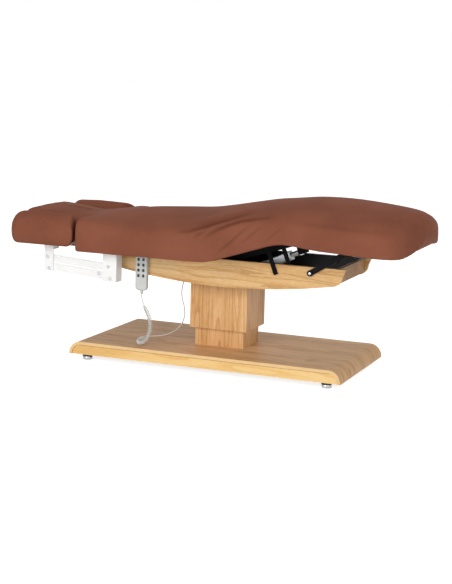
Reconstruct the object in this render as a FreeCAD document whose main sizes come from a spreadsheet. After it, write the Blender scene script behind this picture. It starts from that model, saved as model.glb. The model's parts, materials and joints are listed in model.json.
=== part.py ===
"""Spa bed on a telescopic wooden column: base, lift, tray, folding mattress, drop armrests and handset."""
import FreeCAD, Part
import math
import os
import re
import Sketcher

from FreeCAD import Placement, Rotation, Vector

# Driving dimensions in millimetres, angles in degrees, counts and shares where the name says so; a text is a
# formula of the sheet that ties one size to others.
SIZES = {
    # Shared clearances and cut overrun.
    "running_clearance": 0.05, "seat_clearance": 0.3, "panel_clearance": 0.5, "overrun": 5,
    # Base: a bent veneer shell over recessed skirts, on four glides.
    "base_x": 38, "base_length": 1290, "base_width": 626, "foot_height": 28, "base_height": 58,
    "shell_thick": 14, "shell_bend": 56, "skirt_recess": 5, "skirt_thick": 22,
    "frame_rail": 30,
    "foot_inset_x": 73, "foot_inset_y": 43, "foot_spread_x": "=base_length - 2 * foot_inset_x",
    "foot_spread_y": "=base_width - 2 * foot_inset_y", "foot_radius": 24, "glide_height": 11, "stud_radius": 8,
    # Column: a lower and an upper wooden sleeve round a steel lift.
    "lower_sleeve_x": 234, "lower_sleeve_y": 188, "upper_sleeve_x": 274, "upper_sleeve_y": 226,
    "sleeve_wall": 16, "lower_sleeve_height": 211, "upper_sleeve_rise": 81,
    "lift_tube": 120, "lift_wall": 4, "lift_outer_height": 196, "lift_inner_length": 229, "lift_gap": 0.5,
    "motor_radius": 32, "motor_length": 196, "lift_ram_length": 219,
    "column_plate_x": 300, "column_plate_y": 240, "plate_thick": 6,
    # Tray: boat-shaped side panels with end boards, a floor and a seat board on top.
    "tray_x": 90, "tray_length": 1121, "tray_width": 400, "panel_thick": 20, "tray_top": 500,
    "tray_low": 379, "tray_end_rise": 45, "tray_end_lean": 14, "tray_end_height": 42, "end_board_drop": 40,
    "end_board_rise": 14, "end_board_recess": 12,
    "floor_thick": 12, "floor_length": 600, "floor_level": 395,
    # Boards and cushions of the lying surface.
    "mattress_width": 730, "board_inset": 75, "board_width": "=mattress_width - 2 * board_inset",
    "board_thick": 9, "mattress_thick": 124, "hip_thick": 165,
    "knee_thick": 116, "crown": 34,
    "side_draw": 12, "edge_radius": 34, "head_end": 951, "back_end": 563,
    "head_end_radius": 70, "foot_radius_plan": 210, "cushion_gap": 3, "knee_gap": 4,
    "hinge_level": 485, "back_hinge_x": -120, "leg_hinge_x": 70, "hinge_radius": 8, "thigh_length": 350,
    "calf_length": 537, "thigh_angle": 18, "calf_angle": -4.5, "back_limit": 50, "thigh_limit": 8,
    # Steel frames under the boards.
    "rail_width": 25, "rail_depth": 30, "rail_inset": 50, "back_rail_y": "=tray_width / 2 - rail_inset",
    "thigh_rail_y": 118, "calf_rail_y": 90,
    "frame_short": 70, "calf_frame_length": 150, "cross_width": 30, "seat_board_gap": 12, "back_board_gap": 20,
    # Calf support arms outside the tray panels.
    "arm_x": 496, "arm_level": 475, "arm_length": 190, "arm_width": 24, "arm_thick": 6, "arm_angle": 32.2,
    "arm_gap": 3, "roller_radius": 12, "arm_pin_radius": 7, "arm_head_radius": 13, "arm_head_thick": 4,
    # Leg drive.
    "leg_drive_x": 150, "leg_drive_level": 430, "leg_drive_y": -56, "drive_radius": 21, "rod_radius": 11,
    "rod_eye_radius": 17, "rod_eye_width": 18, "drive_pin_radius": 6, "pin_play": 4,
    "thigh_lug_along": 335, "thigh_lug_drop": 46, "lug_half": 12, "lug_thick": 6, "drive_tube_share": 0.82,
    "case_start": 26, "gear_case_length": 80, "gear_case_width": 70, "drive_edge_radius": 7,
    # Back drive.
    "back_drive_y": 62, "lever_throw": 55, "lever_thick": 12, "lever_half_width": 15,
    "back_drive_tail": 190, "back_drive_start": 62,
    # Armrests on parallel links.
    "pad_width": 153, "pad_slit": 7, "pad_inner_y": "=mattress_width / 2 - pad_width",
    "head_half_width": "=mattress_width / 2 - pad_width - pad_slit", "pad_nose": 897, "pad_rear": 572,
    "pad_level": 529, "pad_thick": 114, "pad_crown": 22, "pad_radius": 48, "bracket_stand": 10,
    "link_face_y": "=board_width / 2 + bracket_stand", "link_thick": 6, "link_width": 48, "link_gap": 1.5,
    "link_edge": 11,
    "bracket_pin_x": -410, "bracket_pin_level": 387, "link_rise": 22, "link_run": 307, "link_spread": 53,
    "link_lean": -9, "link_pin_radius": 7, "bracket_thick": 4, "bracket_half_width": 34,
    "flange_share": 0.55, "bracket_flange": "=(link_face_y - tray_width / 2) * flange_share",
    "upright_half_width": 23, "upright_flange": 52, "bolt_head_radius": 8, "bolt_head_thick": 3,
    "notch_rise": 34,
    # Mattress straps beside the knee.
    "strap_width": 20, "strap_thick": 2, "strap_along": 241, "strap_step": 72, "strap_length": 127,
    "strap_angle": 3, "strap_y": 206,
    # Handset, its buttons and cord.
    "handset_x": -294, "handset_low": 331, "handset_width": 58, "handset_height": 165, "handset_depth": 24,
    "handset_split": 9, "handset_radius": 12, "handset_wall": 2.2, "hook_depth": 3, "hook_width": 30,
    "hook_height": 60, "button_width": 14, "button_height": 15, "button_depth": 5, "button_proud": 1.8,
    "button_step_x": 24, "button_step_z": 24.5, "button_low": 68, "button_clearance": 0.35,
    "relief_radius": 6.5, "relief_length": 10, "cord_radius": 2.5, "curl_radius": 7, "curl_count": 40,
    "curl_ramp": 24, "gland_radius": 8, "gland_length": 24, "gland_x": -160, "gland_y": -55,
    "box_length": 150, "box_width": 90, "box_height": 45,
}

doc = FreeCAD.newDocument("SpaBed")
sheet = doc.addObject("Spreadsheet::Sheet", "Sizes")
NODES = {}


def fill_sheet():
    """Write every driving dimension to a cell of its own and give the cell its name."""
    for row, (name, value) in enumerate(SIZES.items(), start=1):
        sheet.set(f"A{row}", name)
        sheet.set(f"B{row}", str(value))
        sheet.setAlias(f"B{row}", name)
    doc.recompute()


def size(name):
    """Read one driving dimension back from the sheet."""
    return float(sheet.get(name))


def bind(thing, prop, text):
    """Tie a property to a formula whose words are cells of the sheet."""
    formula = re.sub(r"[a-z][a-z_]*", lambda word: "Sizes." + word.group(0)
                     if word.group(0) in SIZES else word.group(0), text)
    thing.setExpression(prop, formula)


def place(thing, x, y, z):
    """Tie the three coordinates of an object's place to formulas."""
    bind(thing, "Placement.Base.x", x)
    bind(thing, "Placement.Base.y", y)
    bind(thing, "Placement.Base.z", z)
    return thing


def node(thing, label):
    """Keep an object as a sub-part of the bed under its own label."""
    thing.Label = label
    NODES[label] = thing
    return thing


def box(name, length, width, height, x, y, z):
    """A block with its sizes and low corner tied to formulas."""
    block = doc.addObject("Part::Box", name)
    bind(block, "Length", length)
    bind(block, "Width", width)
    bind(block, "Height", height)
    return place(block, x, y, z)


def rod(name, radius, height, x, y, z, axis=Vector(0, 0, 1)):
    """A cylinder that starts at a place and runs along an axis."""
    bar = doc.addObject("Part::Cylinder", name)
    bind(bar, "Radius", radius)
    bind(bar, "Height", height)
    bar.Placement = Placement(Vector(), Rotation(Vector(0, 0, 1), axis))
    return place(bar, x, y, z)


def cut(name, base, *tools):
    """One object less several others."""
    result = base
    for index, tool in enumerate(tools):
        step = doc.addObject("Part::Cut", f"{name}_cut_{index}")
        step.Base = result
        step.Tool = tool
        result = step
    return result


def join(name, *pieces):
    """Several touching objects as one solid."""
    fused = doc.addObject("Part::MultiFuse", name)
    fused.Shapes = list(pieces)
    fused.Refine = True
    return fused


def group(name, *pieces):
    """Several like objects kept as separate solids of one sub-part."""
    batch = doc.addObject("Part::Compound", name)
    batch.Links = list(pieces)
    return batch


def turned(thing, angle, axis_x, axis_z):
    """Turn a finished object about a level axis along Y, foot end up for a positive angle."""
    turn = Placement(Vector(), Rotation(Vector(0, -1, 0), angle), Vector(axis_x, 0, axis_z))
    thing.Placement = turn.multiply(thing.Placement)
    return thing


def shaped(name, shape):
    """An object whose form is set directly from the sheet's sizes."""
    thing = doc.addObject("Part::Feature", name)
    thing.Shape = shape
    return thing


def origin_plane(body, role):
    """The named origin plane of a body."""
    return next(item for item in body.Origin.OriginFeatures if item.Role == role)


def rectangle_pad(name, role, wide, tall, deep):
    """A body with a centred rectangle on an origin plane, padded evenly to both sides of it."""
    body = doc.addObject("PartDesign::Body", name)
    sketch = body.newObject("Sketcher::SketchObject", name + "_outline")
    sketch.AttachmentSupport = [(origin_plane(body, role), "")]
    sketch.MapMode = "FlatFace"
    corners = [Vector(-1, -1, 0), Vector(1, -1, 0), Vector(1, 1, 0), Vector(-1, 1, 0)]
    for index, corner in enumerate(corners):
        sketch.addGeometry(Part.LineSegment(corner, corners[(index + 1) % len(corners)]))
    sketcher_rules(sketch)
    bind(sketch, "Constraints.wide", wide)
    bind(sketch, "Constraints.tall", tall)
    pad = body.newObject("PartDesign::Pad", name + "_pad")
    pad.Profile = sketch
    pad.SideType = "Symmetric"
    bind(pad, "Length", deep)
    doc.recompute()
    return body, pad


def sketcher_rules(sketch):
    """Square, centred and dimensioned rules of the four lines of a rectangle."""
    for line in range(4):
        sketch.addConstraint(Sketcher.Constraint("Coincident", line, 2, (line + 1) % 4, 1))
        sketch.addConstraint(Sketcher.Constraint("Vertical" if line % 2 else "Horizontal", line))
    sketch.addConstraint(Sketcher.Constraint("Symmetric", 0, 1, 1, 2, -1, 1))
    wide = sketch.addConstraint(Sketcher.Constraint("DistanceX", 0, 1, 0, 2, 2))
    sketch.renameConstraint(wide, "wide")
    tall = sketch.addConstraint(Sketcher.Constraint("DistanceY", 1, 1, 1, 2, 2))
    sketch.renameConstraint(tall, "tall")


def edges_where(feature, test):
    """Names of the edges of a feature whose middle and direction pass a test."""
    names = []
    for index, edge in enumerate(feature.Shape.Edges, start=1):
        middle = edge.valueAt((edge.FirstParameter + edge.LastParameter) / 2)
        if test(middle, edge.tangentAt(edge.FirstParameter)):
            names.append(f"Edge{index}")
    return names


def faces_where(feature, test):
    """Names of the faces of a feature whose outward direction passes a test."""
    names = []
    for index, face in enumerate(feature.Shape.Faces, start=1):
        if face.Surface.TypeId == "Part::GeomPlane" and test(face.normalAt(0, 0)):
            names.append(f"Face{index}")
    return names


def fillet(body, feature, name, names, radius):
    """Round named edges of a body."""
    rounding = body.newObject("PartDesign::Fillet", name)
    rounding.Base = (feature, names)
    bind(rounding, "Radius", radius)
    doc.recompute()
    return rounding


def hollow(body, feature, name, names, wall):
    """Leave a wall inside a body and open it at the named faces."""
    shell = body.newObject("PartDesign::Thickness", name)
    shell.Base = (feature, names)
    bind(shell, "Value", wall)
    shell.Reversed = True
    shell.Join = 1
    doc.recompute()
    return shell


def base_shell():
    """Bent veneer shell: a flat top whose two ends turn down in quarter rounds."""
    body, pad = rectangle_pad("ShellBody", "XZ_Plane", "base_length", "base_height", "base_width")
    top_ends = edges_where(pad, lambda at, way: abs(way.y) > 0.9 and at.z > 0)
    bend = fillet(body, pad, "ShellBend", top_ends, "shell_bend")
    open_faces = faces_where(bend, lambda out: out.z < -0.9 or abs(out.y) > 0.9)
    hollow(body, bend, "ShellHollow", open_faces, "shell_thick")
    place(body, "base_x", "0", "foot_height + base_height / 2")
    return node(body, "base_shell")


def base_skirts():
    """Front and back boards, set back a little under the shell, with ends that follow its inner bend."""
    tall = "base_height - shell_thick - seat_clearance"
    skirts = []
    for name, side in (("FrontSkirt", "-"), ("BackSkirt", "+")):
        body, pad = rectangle_pad(name, "XZ_Plane", "base_length - 2 * shell_thick - 2 * seat_clearance", tall,
                                  "skirt_thick")
        top_ends = edges_where(pad, lambda at, way: abs(way.y) > 0.9 and at.z > 0)
        fillet(body, pad, name + "Bend", top_ends, "shell_bend - shell_thick - seat_clearance")
        skirts.append(place(body, "base_x", f"{side}(base_width / 2 - skirt_recess - skirt_thick / 2)",
                            f"foot_height + ({tall}) / 2"))
    return node(group("BaseSkirtPair", *skirts), "base_skirts")


def base_frame():
    """Welded rails under the shell that carry the column and the feet."""
    top = "foot_height + base_height - shell_thick - frame_rail"
    rails = []
    for side in ("-", ""):
        rails.append(box("BaseRail", "foot_spread_x + frame_rail", "frame_rail", "frame_rail",
                         "base_x - foot_spread_x / 2 - frame_rail / 2",
                         f"{side}foot_spread_y / 2 - frame_rail / 2", top))
    for side in ("-", ""):
        rails.append(box("BaseCross", "frame_rail", "foot_spread_y", "frame_rail",
                         f"base_x - frame_rail / 2 {side or '+'} lower_sleeve_x / 2", "-foot_spread_y / 2", top))
    holes = []
    for side_x in ("-", "+"):
        for side_y in ("-", "+"):
            holes.append(rod("StudHole", "stud_radius + running_clearance", "frame_rail + 2 * overrun",
                             f"base_x {side_x} foot_spread_x / 2", f"{side_y}foot_spread_y / 2",
                             f"{top} - overrun"))
    return node(cut("BaseFrame", join("BaseRails", *rails), *holes), "base_frame")


def levelling_feet():
    """Four chrome glides, each on a black threaded stud."""
    glides = []
    studs = []
    for side_x in ("-", "+"):
        for side_y in ("-", "+"):
            x = f"base_x {side_x} foot_spread_x / 2"
            y = f"{side_y}foot_spread_y / 2"
            glides.append(rod("Glide", "foot_radius", "glide_height", x, y, "0"))
            studs.append(rod("Stud", "stud_radius", "foot_height + base_height - shell_thick - glide_height",
                             x, y, "glide_height"))
    node(group("GlideSet", *glides), "foot_glides")
    return node(group("StudSet", *studs), "foot_studs")


def sleeve(label, wide, deep, tall, low):
    """A square wooden tube, open at both ends, round the column's axis."""
    body, pad = rectangle_pad(label.title().replace("_", ""), "XY_Plane", wide, deep, tall)
    ends = faces_where(pad, lambda out: abs(out.z) > 0.9)
    hollow(body, pad, label + "_hollow", ends, "sleeve_wall")
    place(body, "base_x", "0", f"{low} + ({tall}) / 2")
    return node(body, label)


def square_tube(label, wide, wall, tall, low):
    """A square steel tube on the column's axis."""
    outer = box(label + "_outer", wide, wide, tall, f"base_x - ({wide}) / 2", f"-({wide}) / 2", low)
    inner = box(label + "_bore", f"{wide} - 2 * {wall}", f"{wide} - 2 * {wall}", f"{tall} + 2 * overrun",
                f"base_x - ({wide}) / 2 + {wall}", f"-({wide}) / 2 + {wall}", f"{low} - overrun")
    return cut(label, outer, inner)


def lift_column():
    """Two sleeves, two steel tubes and the lift drive between base and tray."""
    floor = "(foot_height + base_height)"
    sleeve("lower_sleeve", "lower_sleeve_x", "lower_sleeve_y", "lower_sleeve_height", floor)
    upper_low = f"{floor} + upper_sleeve_rise"
    upper_tall = f"floor_level - plate_thick - {floor} - upper_sleeve_rise"
    sleeve("upper_sleeve", "upper_sleeve_x", "upper_sleeve_y", upper_tall, upper_low)
    node(square_tube("LiftOuter", "lift_tube", "lift_wall", "lift_outer_height", floor), "lift_outer_tube")
    inner_wide = "(lift_tube - 2 * lift_wall - 2 * lift_gap)"
    inner = square_tube("LiftInner", inner_wide, "lift_wall", "lift_inner_length",
                        "floor_level - plate_thick - lift_inner_length")
    can = rod("LiftCan", "motor_radius", "motor_length", "base_x", "0", floor)
    bore = rod("LiftBore", "rod_radius + running_clearance", "motor_length", "base_x", "0",
               f"{floor} + lift_wall")
    node(cut("LiftDrive", can, bore), "lift_drive")
    ram = rod("LiftRam", "rod_radius", "lift_ram_length", "base_x", "0",
              "floor_level - plate_thick - lift_ram_length")
    node(ram, "lift_ram")
    plate = box("ColumnHead", "column_plate_x", "column_plate_y", "plate_thick", "base_x - column_plate_x / 2",
                "-column_plate_y / 2", "floor_level - plate_thick")
    return node(join("LiftHead", inner, plate), "lift_inner_tube")


def panel_outline():
    """Side outline of a tray panel: level top, leaning ends, rounded lower corners, bowed bottom."""
    half = size("tray_length") / 2
    middle = size("tray_x")
    top = size("tray_top")
    low = size("tray_low")
    heel = half - size("tray_end_lean")
    rise = low + size("tray_end_rise")
    knuckle = rise + size("tray_end_height")
    inset = heel - size("tray_end_height")
    corner = (heel - size("tray_end_height") * ROUND_SHARE, rise + size("tray_end_height") * ROUND_SHARE)
    def at(x, z):
        return Vector(middle + x, 0, z)
    edges = [Part.LineSegment(at(-half, top), at(half, top)),
             Part.LineSegment(at(half, top), at(heel, knuckle)),
             Part.Arc(at(heel, knuckle), at(*corner), at(inset, rise)),
             Part.Arc(at(inset, rise), at(0, low), at(-inset, rise)),
             Part.Arc(at(-inset, rise), at(-corner[0], corner[1]), at(-heel, knuckle)),
             Part.LineSegment(at(-heel, knuckle), at(-half, top))]
    return Part.Wire([edge.toShape() for edge in edges])


# Share of a corner's size at which a round corner's middle lies in from its square corner.
ROUND_SHARE = 1 - math.sqrt(0.5)


def tray_panels():
    """Two boat-shaped side panels bored for the hinge shafts and the calf arms' studs."""
    thick = size("panel_thick")
    outer = size("tray_width") / 2
    play = size("running_clearance")
    panel = Part.Face(panel_outline()).extrude(Vector(0, thick, 0))
    bores = [("back_hinge_x", "hinge_level", "hinge_radius"), ("leg_hinge_x", "hinge_level", "hinge_radius"),
             ("arm_x", "arm_level", "arm_pin_radius")]
    for x, z, radius in bores:
        start = Vector(size(x), -thick, size(z))
        panel = panel.cut(Part.makeCylinder(size(radius) + play, 3 * thick, start, Vector(0, 1, 0)))
    near = panel.translated(Vector(0, -outer, 0))
    far = panel.translated(Vector(0, outer - thick, 0))
    return node(shaped("TrayPanels", Part.makeCompound([near, far])), "tray_side_panels")


def tray_boards():
    """End boards, floor and seat board that tie the two side panels together."""
    inside = "tray_width - 2 * panel_thick"
    low_y = "panel_thick - tray_width / 2"
    low = "(tray_low + tray_end_rise + end_board_rise)"
    recess = "(tray_length / 2 - tray_end_lean - end_board_recess)"
    head = box("HeadBoard", "panel_thick", inside, f"tray_top - end_board_drop - {low}", f"tray_x - {recess}",
               low_y, low)
    foot = box("FootBoard", "panel_thick", inside, f"tray_top - {low}", f"tray_x + {recess} - panel_thick",
               low_y, low)
    node(group("EndBoards", head, foot), "tray_end_boards")
    floor = box("TrayFloor", "floor_length", inside, "floor_thick", "base_x - floor_length / 2", low_y,
                "floor_level")
    hole = rod("GlandHole", "gland_radius + running_clearance", "floor_thick + 2 * overrun", "gland_x", "gland_y",
               "floor_level - overrun")
    node(cut("TrayFloorBored", floor, hole), "tray_floor")
    seat = box("SeatBoard", "leg_hinge_x - back_hinge_x - 2 * seat_board_gap", "board_width", "board_thick",
               "back_hinge_x + seat_board_gap", "-board_width / 2", "tray_top")
    return node(seat, "seat_board")


def hinge_shafts():
    """Shafts through the tray panels that carry the back and the thigh frames."""
    length = "tray_width - panel_clearance"
    shafts = []
    for x in ("back_hinge_x", "leg_hinge_x"):
        shafts.append(rod("HingeShaft", "hinge_radius", length, x, f"-({length}) / 2", "hinge_level",
                          Vector(0, 1, 0)))
    return node(group("HingeShaftPair", *shafts), "hinge_shafts")


def rail_frame(name, start, end, hub_x, rail_y, cross_places, bores):
    """Two rails with a round hub at one place and cross members, bored along Y for hinge shafts."""
    low = "hinge_level - rail_depth / 2"
    pieces = []
    for side in ("-", ""):
        low_y = f"{side}{rail_y} - rail_width / 2"
        pieces.append(box(name + "Rail", f"({end}) - ({start})", "rail_width", "rail_depth", start, low_y, low))
        pieces.append(rod(name + "Hub", "rail_depth / 2", "rail_width", hub_x, low_y, "hinge_level",
                          Vector(0, 1, 0)))
    for x in cross_places:
        pieces.append(box(name + "Cross", "cross_width", f"2 * {rail_y}", "rail_depth", x, f"-{rail_y}", low))
    tools = []
    for x, play in bores:
        tools.append(rod(name + "Bore", f"hinge_radius + {play}", f"2 * {rail_y} + 2 * rail_width",
                         x, f"-{rail_y} - rail_width", "hinge_level", Vector(0, 1, 0)))
    return pieces, tools


def cushion_section(x, half, low, thick, crown):
    """Cross-section of a cushion: flat underside, drawn-in sides, round upper edges and a crowned top."""
    draw = size("side_draw")
    edge = size("edge_radius")
    side_top = low + thick - edge
    def at(y, z):
        return Vector(x, y, z)
    lean = edge * ROUND_SHARE
    edges = [Part.LineSegment(at(draw - half, low), at(half - draw, low)),
             Part.Arc(at(half - draw, low), at(half, low + thick / 2 - edge / 2), at(half - draw / 4, side_top)),
             Part.Arc(at(half - draw / 4, side_top), at(half - draw / 4 - lean, side_top + edge - lean),
                      at(half - edge, low + thick)),
             Part.Arc(at(half - edge, low + thick), at(0, low + thick + crown), at(edge - half, low + thick)),
             Part.Arc(at(edge - half, low + thick), at(draw / 4 + lean - half, side_top + edge - lean),
                      at(draw / 4 - half, side_top)),
             Part.Arc(at(draw / 4 - half, side_top), at(-half, low + thick / 2 - edge / 2),
                      at(draw - half, low))]
    return Part.Wire([piece.toShape() for piece in edges])


def cushion(places, half, low, crown):
    """A crowned block of foam between two places along the bed, each with a thickness of its own."""
    wires = [cushion_section(x, half, low, thick, crown) for x, thick in places]
    return Part.makeLoft(wires, True, True)


def slope(at, start, end):
    """Thickness at a place on the straight line through two places with known thickness."""
    share = (at - start[0]) / (end[0] - start[0])
    return at, start[1] + share * (end[1] - start[1])


def half_space(x, z, angle, keep_foot_end):
    """A large block on one side of a plane that leans from the upright about a level axis."""
    reach = 2 * size("base_length")
    start = 0 if keep_foot_end else -reach
    block = Part.makeBox(reach, 2 * reach, 2 * reach, Vector(start, -reach, -reach))
    block.rotate(Vector(), Vector(0, 1, 0), angle)
    block.translate(Vector(x, 0, z))
    return block


def rounded_plan(start, end, half, radius, low, tall):
    """A prism with round corners at one end of the bed, as seen from above; the end comes second."""
    way = math.copysign(1, end - start)
    turn = radius * ROUND_SHARE
    def at(x, y):
        return Vector(x, y, low)
    edges = [Part.LineSegment(at(start, -half), at(end - way * radius, -half)),
             Part.Arc(at(end - way * radius, -half), at(end - way * turn, turn - half), at(end, radius - half)),
             Part.LineSegment(at(end, radius - half), at(end, half - radius)),
             Part.Arc(at(end, half - radius), at(end - way * turn, half - turn), at(end - way * radius, half)),
             Part.LineSegment(at(end - way * radius, half), at(start, half)),
             Part.LineSegment(at(start, half), at(start, -half))]
    return Part.Face(Part.Wire([piece.toShape() for piece in edges])).extrude(Vector(0, 0, tall))


def foam_low():
    """Level of the cushions' underside over a board."""
    return size("tray_top") + size("panel_clearance") + size("board_thick") + size("seat_clearance")


def back_section():
    """Back frame, board, lever and the cushion that runs on into the head rest."""
    start = "frame_short - back_end"
    hinge = "back_hinge_x"
    pieces, tools = rail_frame("Back", start, hinge, hinge, "back_rail_y", [start, f"{hinge} - 3 * frame_short"],
                               [(hinge, "running_clearance")])
    node(cut("BackFrame", join("BackRails", *pieces), *tools), "back_frame")
    board_level = "tray_top + panel_clearance"
    wide = box("BackBoardWide", "back_hinge_x - back_board_gap + back_end - skirt_thick", "board_width",
               "board_thick", "skirt_thick - back_end", "-board_width / 2", board_level)
    neck = box("BackBoardNeck", "head_end - back_end", "2 * head_half_width - 2 * skirt_thick", "board_thick",
               "2 * skirt_thick - head_end", "skirt_thick - head_half_width", board_level)
    node(join("BackBoardWhole", wide, neck), "back_board")
    lever_section()
    half = size("mattress_width") / 2
    low = foam_low()
    tall = size("mattress_thick")
    foam = cushion([(-size("head_end"), tall), (size("back_hinge_x") + tall, tall)], half, low, size("crown"))
    angle = -size("back_limit") / 2
    shift = size("back_hinge_x") - size("cushion_gap")
    foam = foam.common(half_space(shift, size("hinge_level"), angle, False))
    reach = 3 * tall
    head = rounded_plan(-size("back_end") + reach, -size("head_end"), size("head_half_width"),
                        size("head_end_radius"), low - tall, reach)
    torso = rounded_plan(size("back_hinge_x") + reach, -size("back_end"), 2 * half, size("edge_radius"),
                         low - tall, reach)
    foam = foam.common(head.fuse(torso).removeSplitter())
    return node(shaped("BackFoam", foam), "back_cushion")


def lever_section():
    """Drive lever under the back frame, with a slot for the ram's pin."""
    throw = size("lever_throw")
    play = size("drive_pin_radius") + size("pin_play") / 2
    angle = math.radians(size("back_limit") / 2)
    far = throw / math.cos(angle) + play
    half = size("lever_half_width")
    thick = size("lever_thick")
    low_y = size("back_drive_y") - thick / 2
    tip = far + half - play
    plate = Part.makeBox(2 * half, thick, tip, Vector(-half, low_y, -tip))
    hub = Part.makeCylinder(half, thick, Vector(0, low_y, 0), Vector(0, 1, 0))
    slot = Part.makeBox(2 * play, 3 * thick, far - throw + 2 * play,
                        Vector(-play, low_y - thick, -far - play))
    bore = Part.makeCylinder(size("hinge_radius") + size("running_clearance"), 3 * thick,
                             Vector(0, low_y - thick, 0), Vector(0, 1, 0))
    lever = plate.fuse(hub).removeSplitter().cut(slot).cut(bore)
    lever.rotate(Vector(), Vector(0, 1, 0), -size("back_limit") / 2)
    lever.translate(Vector(size("back_hinge_x"), 0, size("hinge_level")))
    return node(shaped("BackLever", lever), "back_lever")


def seat_section():
    """Fixed middle cushion between the back and the thighs."""
    half = size("mattress_width") / 2
    reach = size("mattress_thick")
    ends = (size("back_hinge_x"), reach), (size("leg_hinge_x"), size("hip_thick"))
    places = [slope(ends[0][0] - reach, *ends), slope(ends[1][0] + reach, *ends)]
    foam = cushion(places, half, foam_low(), size("crown"))
    gap = size("cushion_gap")
    fold = (size("thigh_angle") + size("thigh_limit")) / 2
    foam = foam.common(half_space(size("back_hinge_x") + gap, size("hinge_level"), size("back_limit") / 2, True))
    foam = foam.common(half_space(size("leg_hinge_x") - gap, size("hinge_level"), -fold, False))
    return node(shaped("SeatFoam", foam), "seat_cushion")


def knee_flat():
    """Place of the knee shaft along the bed when the legs lie flat."""
    return size("leg_hinge_x") + size("thigh_length")


def as_thigh(thing):
    """Raise a piece made flat to the thigh's rest angle."""
    return turned(thing, size("thigh_angle"), size("leg_hinge_x"), size("hinge_level"))


def as_calf(thing):
    """Fold a piece made flat at the knee and raise it with the thigh."""
    turned(thing, size("calf_angle") - size("thigh_angle"), knee_flat(), size("hinge_level"))
    return as_thigh(thing)


def thigh_section():
    """Thigh frame with its knee shaft and drive lugs, the board and the cushion."""
    knee = "leg_hinge_x + thigh_length"
    start = "leg_hinge_x - 2 * hinge_radius"
    pieces, tools = rail_frame("Thigh", start, knee, knee, "thigh_rail_y", [f"{knee} - frame_short - cross_width"],
                               [("leg_hinge_x", "running_clearance")])
    pieces.append(rod("KneeShaft", "hinge_radius", "2 * thigh_rail_y", knee, "-thigh_rail_y", "hinge_level",
                      Vector(0, 1, 0)))
    lug_x = "leg_hinge_x + thigh_lug_along"
    for side in ("-", "+"):
        pieces.append(box("ThighLug", "thigh_length - thigh_lug_along + 2 * lug_half", "lug_thick",
                          "thigh_lug_drop + lug_half + hinge_radius", f"{lug_x} - lug_half",
                          f"leg_drive_y {side} (rod_eye_width + 2 * pin_play + lug_thick) / 2 - lug_thick / 2",
                          "hinge_level - thigh_lug_drop - lug_half"))
    pieces.append(rod("ThighPin", "drive_pin_radius", "rod_eye_width + 2 * pin_play", lug_x,
                      "leg_drive_y - rod_eye_width / 2 - pin_play", "hinge_level - thigh_lug_drop",
                      Vector(0, 1, 0)))
    as_thigh(node(cut("ThighFrame", join("ThighRails", *pieces), *tools), "thigh_frame"))
    board = box("ThighBoard", "thigh_length - back_board_gap - knee_gap", "board_width", "board_thick",
                "leg_hinge_x + back_board_gap", "-board_width / 2", "tray_top + panel_clearance")
    as_thigh(node(group("ThighBoardGroup", board), "thigh_board"))
    half = size("mattress_width") / 2
    reach = size("mattress_thick")
    ends = (size("leg_hinge_x"), size("hip_thick")), (knee_flat() - size("knee_gap"), size("knee_thick"))
    foam = cushion([slope(size("leg_hinge_x") - reach, *ends), ends[1]], half, foam_low(), size("crown"))
    fold = (size("thigh_angle") + size("thigh_limit")) / 2
    foam = foam.common(half_space(size("leg_hinge_x") + size("cushion_gap"), size("hinge_level"), fold, True))
    return as_thigh(node(shaped("ThighFoam", foam), "thigh_cushion"))


def mattress_straps():
    """Webbing straps that hang from the thigh board on the near side."""
    straps = []
    for step in range(2):
        x = size("leg_hinge_x") + size("strap_along") + step * size("strap_step")
        long = size("strap_length") * (1 - step * STRAP_SHORT_SHARE)
        top = size("tray_top") + size("panel_clearance")
        strap = Part.makeBox(size("strap_width"), size("strap_thick"), long,
                             Vector(x - size("strap_width") / 2, -size("strap_y"), top - long))
        strap.rotate(Vector(x, 0, top), Vector(0, -1, 0), size("strap_angle"))
        wide = size("board_width")
        roof = Part.makeBox(wide, wide, long, Vector(x - wide / 2, -wide / 2, top))
        straps.append(strap.cut(roof))
    return as_thigh(node(shaped("Straps", Part.makeCompound(straps)), "mattress_straps"))


# Share by which the second strap is shorter than the first.
STRAP_SHORT_SHARE = 0.25


def calf_section():
    """Calf frame, board and the cushion with its round foot end."""
    knee = "leg_hinge_x + thigh_length"
    end = f"{knee} + calf_frame_length"
    pieces, tools = rail_frame("Calf", knee, end, knee, "calf_rail_y",
                               [f"{knee} + frame_short", f"{end} - cross_width"],
                               [(knee, "running_clearance")])
    as_calf(node(cut("CalfFrame", join("CalfRails", *pieces), *tools), "calf_frame"))
    board = box("CalfBoard", "calf_length - 2 * frame_short - knee_gap", "board_width", "board_thick",
                f"{knee} + knee_gap", "-board_width / 2", "tray_top + panel_clearance")
    as_calf(node(group("CalfBoardGroup", board), "calf_board"))
    half = size("mattress_width") / 2
    tall = size("knee_thick")
    low = foam_low()
    places = [(knee_flat() + size("knee_gap"), tall), (knee_flat() + size("calf_length") + tall, tall)]
    foam = cushion(places, half, low, size("crown"))
    plan = rounded_plan(knee_flat() - tall, knee_flat() + size("calf_length"), half, size("foot_radius_plan"),
                        low - tall, 3 * tall)
    return as_calf(node(shaped("CalfFoam", foam.common(plan)), "calf_cushion"))


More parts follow.
